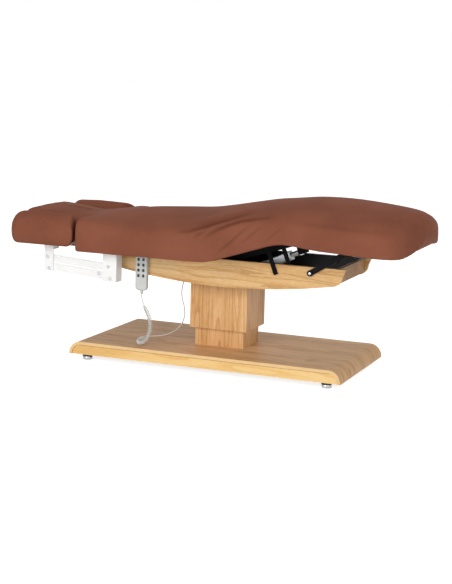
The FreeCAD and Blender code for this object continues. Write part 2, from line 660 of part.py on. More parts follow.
def calf_arms():
    """Two steel arms on studs outside the tray panels, each with a roller under the calf board."""
    inner = size("tray_width") / 2 + size("arm_gap")
    thick = size("arm_thick")
    long = size("arm_length")
    half = size("arm_width") / 2
    arms = []
    studs = []
    for side in (-1, 1):
        low_y = -inner - thick if side < 0 else inner
        along = Vector(0, 1, 0)
        arm = Part.makeBox(long, thick, 2 * half, Vector(0, low_y, -half))
        arm = arm.fuse(Part.makeCylinder(half, thick, Vector(0, low_y, 0), along))
        arm = arm.fuse(Part.makeCylinder(half, thick, Vector(long, low_y, 0), along)).removeSplitter()
        roller_y = low_y - 2 * thick if side < 0 else low_y + thick
        arm = arm.fuse(Part.makeCylinder(size("roller_radius"), 2 * thick, Vector(long, roller_y, 0), along))
        arm = arm.cut(Part.makeCylinder(size("arm_pin_radius") + size("running_clearance"), 3 * thick,
                                        Vector(0, low_y - thick, 0), along))
        arms.append(arm)
        pin_y = -inner - thick - size("seat_clearance") if side < 0 else size("tray_width") / 2
        pin_y = pin_y if side < 0 else pin_y - size("panel_thick")
        pin_long = size("arm_gap") + thick + size("seat_clearance") + size("panel_thick")
        pin = Part.makeCylinder(size("arm_pin_radius"), pin_long, Vector(0, pin_y, 0), along)
        head_y = pin_y - size("arm_head_thick") if side < 0 else pin_y + pin_long
        head = Part.makeCylinder(size("arm_head_radius"), size("arm_head_thick"), Vector(0, head_y, 0), along)
        spacer_y = -inner + size("seat_clearance") if side < 0 else size("tray_width") / 2
        spacer = Part.makeCylinder(size("arm_head_radius"), size("arm_gap") - size("seat_clearance"),
                                   Vector(0, spacer_y, 0), along)
        studs.append(pin.fuse(head).fuse(spacer).removeSplitter())
    for label, pieces, angle in (("calf_arms", arms, size("arm_angle")), ("calf_arm_studs", studs, 0)):
        whole = Part.makeCompound(pieces)
        whole.rotate(Vector(), Vector(0, -1, 0), angle)
        whole.translate(Vector(size("arm_x"), 0, size("arm_level")))
        node(shaped(label.title(), whole), label)


def leg_drive():
    """Linear drive from the tray floor to the thigh: tube with gear case, and a ram with an eye."""
    lug = Vector(size("thigh_lug_along"), 0, -size("thigh_lug_drop"))
    lug = Rotation(Vector(0, -1, 0), size("thigh_angle")).multVec(lug)
    eye = lug + Vector(size("leg_hinge_x"), 0, size("hinge_level"))
    foot = Vector(size("leg_drive_x"), 0, size("leg_drive_level"))
    reach = (eye - foot).Length
    angle = math.degrees(math.atan2(eye.z - foot.z, eye.x - foot.x))
    ahead = Vector(1, 0, 0)
    along = Vector(0, 1, 0)
    pin = size("drive_pin_radius")
    wide = size("rod_eye_width")
    ring = size("rod_eye_radius")
    tube_long = reach * size("drive_tube_share")
    half = size("drive_radius")
    corner = Vector(size("case_start"), -half, -half)
    body = Part.makeBox(tube_long - corner.x, 2 * half, 2 * half, corner)
    rims = [edge for edge in body.Edges if edge.BoundBox.XLength > ring]
    body = body.makeFillet(size("drive_edge_radius"), rims)
    case = Part.makeBox(size("gear_case_length"), size("gear_case_width"), 2 * half, corner)
    tail = Part.makeCylinder(ring, wide, Vector(0, -wide / 2, 0), along)
    tail = tail.fuse(Part.makeBox(2 * ring, wide, ring, Vector(0, -wide / 2, -ring / 2)))
    body = body.fuse(case).fuse(tail).removeSplitter()
    body = body.cut(Part.makeCylinder(pin + size("running_clearance"), 2 * wide, Vector(0, -wide, 0), along))
    body = body.cut(Part.makeCylinder(size("rod_radius") + size("running_clearance"), tube_long,
                                      Vector(3 * ring, 0, 0), ahead))
    ram = Part.makeCylinder(size("rod_radius"), reach - 5 * ring, Vector(5 * ring, 0, 0), ahead)
    head = Part.makeCylinder(ring, wide, Vector(reach, -wide / 2, 0), along)
    ram = ram.fuse(head).removeSplitter()
    ram = ram.cut(Part.makeCylinder(pin + size("pin_play"), 2 * wide, Vector(reach, -wide, 0), along))
    for label, shape in (("leg_drive_body", body), ("leg_drive_ram", ram)):
        shape.rotate(Vector(), Vector(0, -1, 0), angle)
        shape.translate(foot + Vector(0, size("leg_drive_y"), 0))
        node(shaped(label.title(), shape), label)
    bracket = []
    floor = size("floor_level") + size("floor_thick")
    for side in (-1, 1):
        y = side * (wide / 2 + size("link_gap")) + (0 if side > 0 else -size("lug_thick"))
        bracket.append(Part.makeBox(2 * ring, size("lug_thick"), foot.z + ring - floor,
                                    Vector(foot.x - ring, y + size("leg_drive_y"), floor)))
    axle_y = size("leg_drive_y") - wide / 2 - size("link_gap")
    axle = Part.makeCylinder(pin, wide + 2 * size("link_gap"), Vector(foot.x, axle_y, foot.z), along)
    bracket = bracket[0].fuse(bracket[1]).fuse(axle).removeSplitter()
    return node(shaped("LegDriveBracket", bracket), "leg_drive_bracket")


def back_drive():
    """Linear drive fixed in the tray, whose ram pushes the back lever by a pin in its slot."""
    along = Vector(0, 1, 0)
    level = size("hinge_level") - size("lever_throw")
    swing = size("lever_throw") * math.tan(math.radians(size("back_limit") / 2))
    pin_x = size("back_hinge_x") + swing
    y = size("back_drive_y")
    ring = size("rod_eye_radius")
    thick = size("lever_thick")
    pin = Part.makeCylinder(size("drive_pin_radius"), thick + 2 * size("link_gap"),
                            Vector(pin_x, y - thick / 2 - size("link_gap"), level), along)
    fork = []
    for side in (-1, 1):
        low_y = y + side * (thick / 2 + size("link_gap")) + (0 if side > 0 else -size("lug_thick"))
        fork.append(Part.makeBox(3 * ring, size("lug_thick"), ring, Vector(pin_x - ring / 2, low_y,
                                                                         level - ring / 2)))
    yoke_x = pin_x + 2 * ring + size("lever_half_width") / 2
    yoke = Part.makeBox(ring / 2, thick + 2 * size("link_gap") + 2 * size("lug_thick"), ring,
                        Vector(yoke_x - ring / 2, y - thick / 2 - size("link_gap") - size("lug_thick"),
                               level - ring / 2))
    long = size("back_drive_tail")
    stem = Part.makeCylinder(size("rod_radius") * RAM_SHARE, long, Vector(yoke_x, y, level), Vector(1, 0, 0))
    ram = pin.fuse(fork[0]).fuse(fork[1]).fuse(yoke).fuse(stem).removeSplitter()
    node(shaped("BackDriveRam", ram), "back_drive_ram")
    floor = size("floor_level") + size("floor_thick")
    start = yoke_x + size("back_drive_start")
    case = Part.makeBox(long, 2 * size("drive_radius"), 2 * (level - floor),
                        Vector(start, y - size("drive_radius"), floor))
    bore = Part.makeCylinder(size("rod_radius") * RAM_SHARE + size("running_clearance"), long,
                             Vector(start - size("overrun"), y, level), Vector(1, 0, 0))
    return node(shaped("BackDriveBody", case.cut(bore)), "back_drive_body")


# Share of the leg ram's radius that the back drive's slimmer ram has.
RAM_SHARE = 0.7


def mirrored(shape, side):
    """The near shape itself, or its mirror image across the bed's middle plane."""
    return shape if side < 0 else shape.mirror(Vector(), Vector(0, 1, 0))


def link_pins():
    """Places of the four link pins: bracket low, bracket high, upright low, upright high."""
    low = Vector(size("bracket_pin_x"), 0, size("bracket_pin_level"))
    lift = Vector(size("link_lean"), 0, size("link_spread"))
    run = Vector(-size("link_run"), 0, size("link_rise"))
    return low, low + lift, low + run, low + run + lift


def pinned_plate(centre_x, half, low, high, pins, flange_side, flange):
    """A folded steel plate with a side flange, two link pins and their bolt heads."""
    face = -size("link_face_y")
    thick = size("bracket_thick")
    along = Vector(0, 1, 0)
    plate = Part.makeBox(2 * half, thick, high - low, Vector(centre_x - half, face, low))
    flange_x = centre_x + half - thick if flange_side > 0 else centre_x - half
    side = Part.makeBox(thick, flange, high - low, Vector(flange_x, face, low))
    plate = plate.fuse(side)
    pin_long = thick + 2 * size("link_gap") + size("link_thick")
    for at in pins:
        plate = plate.fuse(Part.makeCylinder(size("link_pin_radius"), pin_long, Vector(at.x, face, at.z), along))
        plate = plate.fuse(Part.makeCylinder(size("bolt_head_radius"), size("bolt_head_thick"),
                                             Vector(at.x, face - size("bolt_head_thick"), at.z), along))
        cap_y = face + pin_long
        plate = plate.fuse(Part.makeCylinder(size("bolt_head_radius"), size("bolt_head_thick"),
                                             Vector(at.x, cap_y, at.z), along))
    return plate.removeSplitter()


def link_bar(start, end, lower):
    """A flat link with round ends, trimmed along its outer edge and bored for its two pins."""
    along = Vector(0, 1, 0)
    low_y = -size("link_face_y") + size("bracket_thick") + size("link_gap")
    thick = size("link_thick")
    half = size("link_width") / 2
    run = end - start
    bar = Part.makeBox(run.Length, thick, 2 * half, Vector(0, low_y, -half))
    for x in (0, run.Length):
        bar = bar.fuse(Part.makeCylinder(half, thick, Vector(x, low_y, 0), along))
    trim_z = size("link_edge") if lower else -size("link_edge") - 2 * half
    bar = bar.removeSplitter().cut(Part.makeBox(run.Length + 4 * half, 3 * thick, 2 * half,
                                                Vector(-2 * half, low_y - thick, trim_z)))
    for x in (0, run.Length):
        bar = bar.cut(Part.makeCylinder(size("link_pin_radius") + size("running_clearance"), 3 * thick,
                                        Vector(x, low_y - thick, 0), along))
    bar.rotate(Vector(), Vector(0, -1, 0), math.degrees(math.atan2(run.z, run.x)))
    bar.translate(start)
    return bar


def armrest(name, side):
    """One armrest: bracket under the back board, two parallel links, upright and pad."""
    bracket_low, bracket_high, upright_low, upright_high = link_pins()
    thick = size("bracket_thick")
    half = size("bracket_half_width")
    board = size("tray_top") + size("panel_clearance")
    low = bracket_low.z - 2 * size("bolt_head_radius")
    centre = bracket_low.x + size("link_lean") / 2
    bracket = pinned_plate(centre, half, low, board, (bracket_low, bracket_high), 1, size("bracket_flange"))
    foot = Part.makeBox(2 * half, size("bracket_flange"), thick,
                        Vector(centre - half, -size("link_face_y"), board - thick))
    bracket = bracket.fuse(foot).removeSplitter()
    node(shaped(name + "Bracket", mirrored(bracket, side)), name + "_arm_bracket")
    lower_bar = link_bar(bracket_low, upright_low, True)
    upper_bar = link_bar(bracket_high, upright_high, False)
    node(shaped(name + "LowerLink", mirrored(lower_bar, side)), name + "_lower_link")
    node(shaped(name + "UpperLink", mirrored(upper_bar, side)), name + "_upper_link")
    half = size("upright_half_width")
    centre = upright_low.x + size("link_lean") / 2
    top = size("pad_level") - size("board_thick") - size("seat_clearance")
    upright = pinned_plate(centre, half, upright_low.z - 2 * size("bolt_head_radius"), top,
                           (upright_low, upright_high), 1, size("upright_flange"))
    notch = Part.makeBox(2 * thick, size("upright_flange"), size("notch_rise") + upright_high.z - low,
                         Vector(centre + half - 2 * thick, thick - size("link_face_y"), low))
    upright = upright.cut(notch)
    rest = Part.makeBox(size("pad_nose") - size("pad_rear") - 2 * size("pad_radius"),
                        size("link_face_y") - size("pad_inner_y") - size("pad_slit"),
                        size("board_thick"), Vector(size("pad_radius") - size("pad_nose"),
                                                    -size("link_face_y"), top))
    upright = upright.fuse(rest).removeSplitter()
    node(shaped(name + "Upright", mirrored(upright, side)), name + "_arm_upright")
    return node(shaped(name + "Pad", mirrored(arm_pad(), side)), name + "_arm_pad")


def arm_pad():
    """Crowned pad of the near armrest with a round nose and drawn-in sides."""
    half = (size("mattress_width") / 2 - size("pad_inner_y")) / 2
    middle = -size("mattress_width") / 2 + half
    low = size("pad_level")
    places = [(-size("pad_nose"), size("pad_thick")), (-size("pad_rear"), size("pad_thick"))]
    foam = cushion(places, half, low, size("pad_crown"))
    foam.translate(Vector(0, middle, 0))
    tall = 3 * size("pad_thick")
    plan = rounded_plan(-size("pad_rear"), -size("pad_nose"), half, size("pad_radius"), low - tall / 3, tall)
    plan.translate(Vector(0, middle, 0))
    return foam.common(plan)


def handset():
    """Two-part handset on a hook plate at the near panel, with eight buttons."""
    face = "-tray_width / 2 - hook_depth - handset_depth"
    middle = "handset_low + handset_height / 2"
    shells = (("handset_front", "handset_split", f"{face} + handset_split / 2", 1),
              ("handset_back", "handset_depth - handset_split",
               f"{face} + handset_split + (handset_depth - handset_split) / 2", -1))
    bodies = {}
    for label, deep, y, way in shells:
        body, pad = rectangle_pad(label.title().replace("_", ""), "XZ_Plane", "handset_width", "handset_height",
                                  deep)
        corners = edges_where(pad, lambda at, go: abs(go.y) > 0.9)
        rounding = fillet(body, pad, label + "_corners", corners, "handset_radius")
        mouth = faces_where(rounding, lambda out: out.y * way > 0.9)
        hollow(body, rounding, label + "_hollow", mouth, "handset_wall")
        bodies[label] = place(body, "handset_x", y, middle)
    holes = []
    for column in (-1, 1):
        for row in range(4):
            x = f"handset_x + {column} * button_step_x / 2"
            z = f"handset_low + button_low + {row} * button_step_z"
            name = f"button_{'left' if column < 0 else 'right'}_{row + 1}"
            node(box(name, "button_width", "button_depth", "button_height", f"{x} - button_width / 2",
                     f"{face} - button_proud", f"{z} - button_height / 2"), name)
            holes.append(box("ButtonHole", "button_width + 2 * button_clearance", "2 * handset_wall",
                             "button_height + 2 * button_clearance",
                             f"{x} - button_width / 2 - button_clearance", f"{face} - handset_wall / 2",
                             f"{z} - button_height / 2 - button_clearance"))
    node(cut("HandsetFrontCut", bodies["handset_front"], *holes), "handset_front")
    hook = box("HandsetHook", "hook_width", "hook_depth", "hook_height", "handset_x - hook_width / 2",
               "-tray_width / 2 - hook_depth", f"{middle} - hook_height / 2 + hook_depth")
    relief = rod("Relief", "relief_radius", "relief_length", "handset_x",
                 "-tray_width / 2 - hook_depth - handset_depth / 2", "handset_low - relief_length")
    return node(join("HandsetRear", bodies["handset_back"], hook, relief), "handset_back")


def control_box():
    """Drive controller on the tray floor and the cord gland through it."""
    case = box("ControlCase", "box_length", "box_width", "box_height", "base_x - floor_length / 2",
               "leg_drive_y - box_width", "floor_level + floor_thick")
    node(case, "control_box")
    gland = rod("Gland", "gland_radius", "gland_length", "gland_x", "gland_y", "floor_level - gland_length / 2")
    return node(gland, "cord_gland")


def tangent_arcs(start, way, end, arrive):
    """Two arcs that join tangentially and leave and arrive along given directions."""
    chord = end - start
    both = way + arrive
    spread = 2 * (1 - way.dot(arrive))
    ahead = chord.dot(both)
    reach = (math.sqrt(ahead * ahead + spread * chord.dot(chord)) - ahead) / spread
    first = start + way * reach
    second = end - arrive * reach
    meet = (first + second) * 0.5
    return [round_corner(start, first, meet), round_corner(meet, second, end)]


def round_corner(start, corner, end):
    """The arc between two points that touches both lines to the corner between them."""
    middle = (start + end) * 0.5
    reach = (start - corner).Length
    rise = (middle - corner).Length / reach
    half = math.sqrt(1 - rise * rise)
    tip = corner + (middle - corner).normalize() * (reach * (1 - half) / rise)
    return Part.Arc(start, tip, end).toShape()


def soft_route(points):
    """Straight runs joined by the largest even arcs; returns the edges and prints the arcs' radii."""
    edges = []
    radii = []
    last = points[0]
    for before, corner, after in zip(points, points[1:], points[2:]):
        back = (before - corner)
        ahead = (after - corner)
        trim = min(back.Length, ahead.Length) * TRIM_SHARE
        start = corner + back.normalize() * trim
        end = corner + ahead.normalize() * trim
        edges.append(Part.LineSegment(last, start).toShape())
        edges.append(round_corner(start, corner, end))
        radii.append(edges[-1].Curve.Radius)
        last = end
    edges.append(Part.LineSegment(last, points[-1]).toShape())
    print("cord radii", [round(value, 1) for value in radii])
    return edges


# Share of the shorter run that each arc of a cord takes on either side of its point.
TRIM_SHARE = 0.45


def tube(edges, radius):
    """A round tube along joined edges, with its volume compared to section times length."""
    wire = Part.Wire(edges)
    start = edges[0].valueAt(edges[0].FirstParameter)
    way = edges[0].tangentAt(edges[0].FirstParameter)
    ring = Part.Wire([Part.makeCircle(radius, start, way)])
    solid = wire.makePipeShell([ring], True, False)
    expected = math.pi * radius * radius * wire.Length
    print("tube volume share", round(solid.Volume / expected, 4), "length", round(wire.Length, 1))
    return solid


# Hand-chosen route of the cord: from the handset down to the base and up to the tray floor.
CURL_ROUTE = [(-285, -215, 272), (-278, -216, 257), (-266, -219, 241), (-250, -226, 218), (-239, -234, 192),
              (-235, -243, 166), (-237, -252, 141), (-245, -260, 120), (-260, -263, 105), (-281, -254, 98),
              (-302, -227, 96), (-316, -191, 96), (-321, -156, 97), (-318, -122, 97)]
LEAD_ROUTE = [(-318, -122, 97), (-304, -88, 97), (-288, -68, 96), (-266, -54, 98), (-242, -45, 104),
              (-218, -40, 115), (-196, -38, 130.5), (-177, -39, 151), (-163, -41, 175), (-155.5, -43, 202),
              (-155.5, -45, 229), (-161, -47, 255), (-167, -49, 279), (-170, -51, 303), (-168, -53, 328),
              (-160, -55, 355), (-160, -55, 383)]


# Length of a cord's end runs as a share of its radius.
CORD_END_SHARE = 6


def cord():
    """Handset cord: a short straight stretch, a curly stretch and a plain lead to the tray."""
    radius = size("cord_radius")
    top = Vector(size("handset_x"), -size("tray_width") / 2 - size("hook_depth") - size("handset_depth") / 2,
                 size("handset_low") - size("relief_length"))
    route = [Vector(*point) for point in CURL_ROUTE]
    lead = [Vector(*point) for point in LEAD_ROUTE]
    lead[-1] = Vector(size("gland_x"), size("gland_y"), size("floor_level") - size("gland_length") / 2)
    lead[-2] = Vector(lead[-1].x, lead[-1].y, lead[-2].z)
    curl, first, last = curl_edges(route)
    run = CORD_END_SHARE * radius
    drop = [top, top - Vector(0, 0, run), first[0] - first[1] * run, first[0]]
    node(shaped("CordTop", tube(soft_route(drop), radius)), "cord_top")
    node(shaped("CordCurl", tube(curl, radius)), "cord_curl")
    lead[0] = last[0]
    lead.insert(1, last[0] + last[1] * run)
    return node(shaped("CordLead", tube(soft_route(lead), radius)), "cord_lead")


def curl_edges(route):
    """Edges of the curls round a smooth middle line, with short straight ends; prints the least gap."""
    line = Part.BSplineCurve()
    line.interpolate(route)
    length = line.length()
    ramp = size("curl_ramp")
    pitch = (length - ramp) / size("curl_count")
    def eased(run):
        share = min(run / ramp, 1)
        return share * share * (3 - 2 * share)
    def turns(run):
        share = min(run / ramp, 1)
        return (ramp * share ** 3 * (1 - share / 2) + max(run - ramp, 0)) / pitch
    def curl(run):
        at = line.parameterAtDistance(run, line.FirstParameter)
        ahead = line.tangent(at)[0].normalize()
        side = ahead.cross(Vector(0, 1, 0)).normalize()
        left = length - run
        turn = 2 * math.pi * (turns(run) if run < left else size("curl_count") - turns(left))
        radius = size("curl_radius") * eased(min(run, left))
        return line.value(at) + side * (radius * math.cos(turn)) + ahead.cross(side) * (radius * math.sin(turn))
    def way(run):
        step = length / FINE_STEPS ** 4
        return (curl(min(run + step, length)) - curl(max(run - step, 0))).normalize()
    steps = CURL_STEPS * int(length / pitch)
    places = [(curl(length * index / steps), way(length * index / steps)) for index in range(steps + 1)]
    edges = []
    for (start, leave), (end, arrive) in zip(places, places[1:]):
        edges.extend(tangent_arcs(start, leave, end, arrive))
    straight = 2 * size("cord_radius")
    head = places[0][0] - places[0][1] * straight
    tail = places[-1][0] + places[-1][1] * straight
    edges.insert(0, Part.LineSegment(head, places[0][0]).toShape())
    edges.append(Part.LineSegment(places[-1][0], tail).toShape())
    fine = [curl(length * index / (steps * FINE_STEPS)) for index in range(steps * FINE_STEPS + 1)]
    apart = CURL_STEPS * FINE_STEPS * 3 // 4
    least = min((fine[i] - fine[j]).Length for i in range(len(fine))
                for j in range(i + apart, min(i + 3 * apart, len(fine))))
    print("least gap between curls", round(least - 2 * size("cord_radius"), 2))
    print("least curl radius", round(min(edge.Curve.Radius for edge in edges[1:-1]), 2))
    return edges, (head, places[0][1]), (tail, places[-1][1])


# Count of arc pairs in a curl, and of points per arc pair that the gap between curls is measured on.
CURL_STEPS = 4
FINE_STEPS = 6


def check_and_write():
    """Stop on any failed object or bad shape, then write every sub-part to its file."""
    doc.recompute()
    for thing in doc.Objects:
        if "Invalid" in thing.State or "Error" in thing.State:
            raise RuntimeError(f"{thing.Label}: {thing.State}")
    for label, thing in NODES.items():
        if thing.Shape.isNull() or not thing.Shape.isValid() or not thing.Shape.Solids:
            raise RuntimeError(f"{label}: shape is not a valid solid")
    os.makedirs("parts", exist_ok=True)
    for label, thing in NODES.items():
        thing.Shape.exportStep(f"parts/{label}.step")
    print("sub-parts", len(NODES))


def main():
    """Build the bed from the floor up."""
    fill_sheet()
    base_shell()
    base_skirts()
    base_frame()
    levelling_feet()
    lift_column()
    tray_panels()
    tray_boards()
    hinge_shafts()
    back_section()
    seat_section()
    thigh_section()
    mattress_straps()
    calf_section()
    calf_arms()
    leg_drive()
    back_drive()
    armrest("near", -1)
    armrest("far", 1)
    handset()
    control_box()
    cord()
    check_and_write()


main()
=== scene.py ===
"""Spa bed dressed for its picture: leatherette mattress and arm pads, oak veneer, white links and handset."""

import json
import logging
import math
from dataclasses import dataclass
from enum import Enum

import bmesh
import bpy
import numpy as np
from mathutils import Matrix, Vector

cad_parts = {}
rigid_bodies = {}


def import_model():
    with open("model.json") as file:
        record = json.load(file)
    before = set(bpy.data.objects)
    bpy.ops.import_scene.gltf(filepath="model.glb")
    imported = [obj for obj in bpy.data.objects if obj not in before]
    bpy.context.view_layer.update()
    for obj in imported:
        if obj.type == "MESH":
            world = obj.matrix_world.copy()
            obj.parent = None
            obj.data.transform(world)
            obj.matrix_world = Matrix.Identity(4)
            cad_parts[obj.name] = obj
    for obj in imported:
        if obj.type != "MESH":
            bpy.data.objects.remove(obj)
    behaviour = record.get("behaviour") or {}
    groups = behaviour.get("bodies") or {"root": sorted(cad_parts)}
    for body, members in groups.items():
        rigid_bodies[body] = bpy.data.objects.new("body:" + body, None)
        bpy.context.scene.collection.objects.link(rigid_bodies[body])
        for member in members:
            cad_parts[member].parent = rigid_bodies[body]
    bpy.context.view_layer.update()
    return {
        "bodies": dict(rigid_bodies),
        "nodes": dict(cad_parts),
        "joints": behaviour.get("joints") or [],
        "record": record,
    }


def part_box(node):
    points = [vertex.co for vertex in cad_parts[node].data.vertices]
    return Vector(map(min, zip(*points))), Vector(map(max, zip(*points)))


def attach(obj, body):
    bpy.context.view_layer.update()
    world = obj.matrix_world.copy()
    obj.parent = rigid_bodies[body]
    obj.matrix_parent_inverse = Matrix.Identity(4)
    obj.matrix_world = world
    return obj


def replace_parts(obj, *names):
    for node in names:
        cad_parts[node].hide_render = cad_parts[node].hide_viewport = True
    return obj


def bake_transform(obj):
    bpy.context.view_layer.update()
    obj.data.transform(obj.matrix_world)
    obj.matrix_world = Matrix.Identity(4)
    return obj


LOG = logging.getLogger("spa_bed")
MM = 0.001
PHOTO_WIDE = 452
PHOTO_TALL = 584
SIDES = (("near", -1), ("far", 1))

Thing = bpy.types.Object
Tree = bpy.types.NodeTree
Node = bpy.types.Node
Socket = bpy.types.NodeSocket
Array = np.ndarray


def linear(code: str) -> tuple[float, float, float, float]:
    """Turn an sRGB hex colour into a linear one.

    Args:
        code: colour such as "#8C5643".

    Returns:
        Linear red, green, blue and an opaque alpha.
    """
    shares = [int(code[at:at + 2], 16) / 255 for at in (1, 3, 5)]
    steps = [c / 12.92 if c <= 0.04045 else ((c + 0.055) / 1.055) ** 2.4 for c in shares]
    return steps[0], steps[1], steps[2], 1.0


def feed(tree: Tree, node: Node, inputs: dict) -> None:
    """Fill a node's inputs.

    Args:
        tree: node tree that holds the node.
        node: the node.
        inputs: by name or number; a node (for its first output) or a socket is linked, others are constants.
    """
    for name, value in inputs.items():
        source = value.outputs[0] if isinstance(value, Node) else value
        if isinstance(source, Socket):
            tree.links.new(source, node.inputs[name])
        else:
            node.inputs[name].default_value = source


def add_node(tree: Tree, kind: str, inputs: dict | None = None, stops: tuple = (), **settings) -> Node:
    """Add one shader node.

    Args:
        tree: node tree that takes the node.
        kind: Blender's name of the node's type, without its "ShaderNode".
        inputs: what goes into the node, as for feed.
        stops: (place, colour) pairs of a colour ramp.
        settings: attributes of the node.

    Returns:
        The new node.
    """
    node = tree.nodes.new("ShaderNode" + kind)
    for name, value in settings.items():
        setattr(node, name, value)
    if stops:
        while len(node.color_ramp.elements) < len(stops):
            node.color_ramp.elements.new(1.0)
        for stop, (place, colour) in zip(node.color_ramp.elements, stops):
            stop.position = place
            stop.color = colour
    feed(tree, node, inputs or {})
    return node


class Finish:
    """A surface finish; subclasses add the nodes that make its look."""

    name: str

    def material(self) -> bpy.types.Material:
        """The finish's material, made once and then shared."""
        found = bpy.data.materials.get(self.name)
        if found:
            return found
        made = bpy.data.materials.new(self.name)
        made.use_nodes = True
        tree = made.node_tree
        place = add_node(tree, "TexCoord").outputs["Object"]
        feed(tree, tree.nodes["Principled BSDF"], self.looks(tree, place))
        return made

    def looks(self, tree: Tree, place: Socket) -> dict:
        """Add the finish's patterns and name what goes into its shader.

        Args:
            tree: node tree of the material.
            place: socket with a point's place in the object's frame.

        Returns:
            The shader's inputs, as for feed.
        """
        raise NotImplementedError


@dataclass(frozen=True)
class Leatherette(Finish):
    """Polyurethane on knit, embossed with a pebble grain: broad soft gloss, with painted shade in its folds.
    """

    name: str = "leatherette_embossed_polyurethane"
    colour: str = "#8E5743"
    shade_tone: str = "#824E3C"
    fold_painted_shade: str = "#57301F"
    grain_mm: float = 1.8
    cloud_mm: float = 260.0
    roughness: float = 0.56

    def looks(self, tree: Tree, place: Socket) -> dict:
        """Clouded brown, darkened by painted shade where the fold attribute is high, with pebbles as a fine
        bump.
        """
        cloud = add_node(tree, "TexNoise", {"Scale": 1 / (self.cloud_mm * MM), "Detail": 4.0,
                                            "Roughness": 0.55, "Vector": place})
        tone = add_node(tree, "ValToRGB", {"Fac": cloud},
                        stops=((0.35, linear(self.shade_tone)), (0.62, linear(self.colour))))
        # Painted shade: the fold attribute darkens the colour in creases, along the sewn line and at the
        # tuft.
        fold = add_node(tree, "Attribute", attribute_name="fold").outputs["Fac"]
        deep = add_node(tree, "Mix", {0: fold, 6: tone, 7: linear(self.fold_painted_shade)}, data_type="RGBA")
        # Pebbles of about a millimetre are drawn a little coarser, so that they still show as a texture.
        pebble = add_node(tree, "TexVoronoi", {"Scale": 1 / (self.grain_mm * MM), "Smoothness": 0.6,
                                               "Vector": place}, feature="SMOOTH_F1")
        gloss = add_node(tree, "MapRange", {"To Min": self.roughness - 0.06, "To Max": self.roughness + 0.08,
                                            "Value": pebble})
        bump = add_node(tree, "Bump", {"Strength": 0.35, "Distance": 0.25 * MM, "Height": pebble})
        return {"Base Color": deep.outputs[2], "Roughness": gloss, "Normal": bump,
                "Specular IOR Level": 0.015}


class Grain(Enum):
    """Stretch of the wood's pattern along X, Y and Z for each way the grain can run."""

    LENGTH = (0.07, 1.0, 1.0)
    HEIGHT = (1.0, 1.0, 0.07)
    BENT = (0.07, 1.0, 0.10)


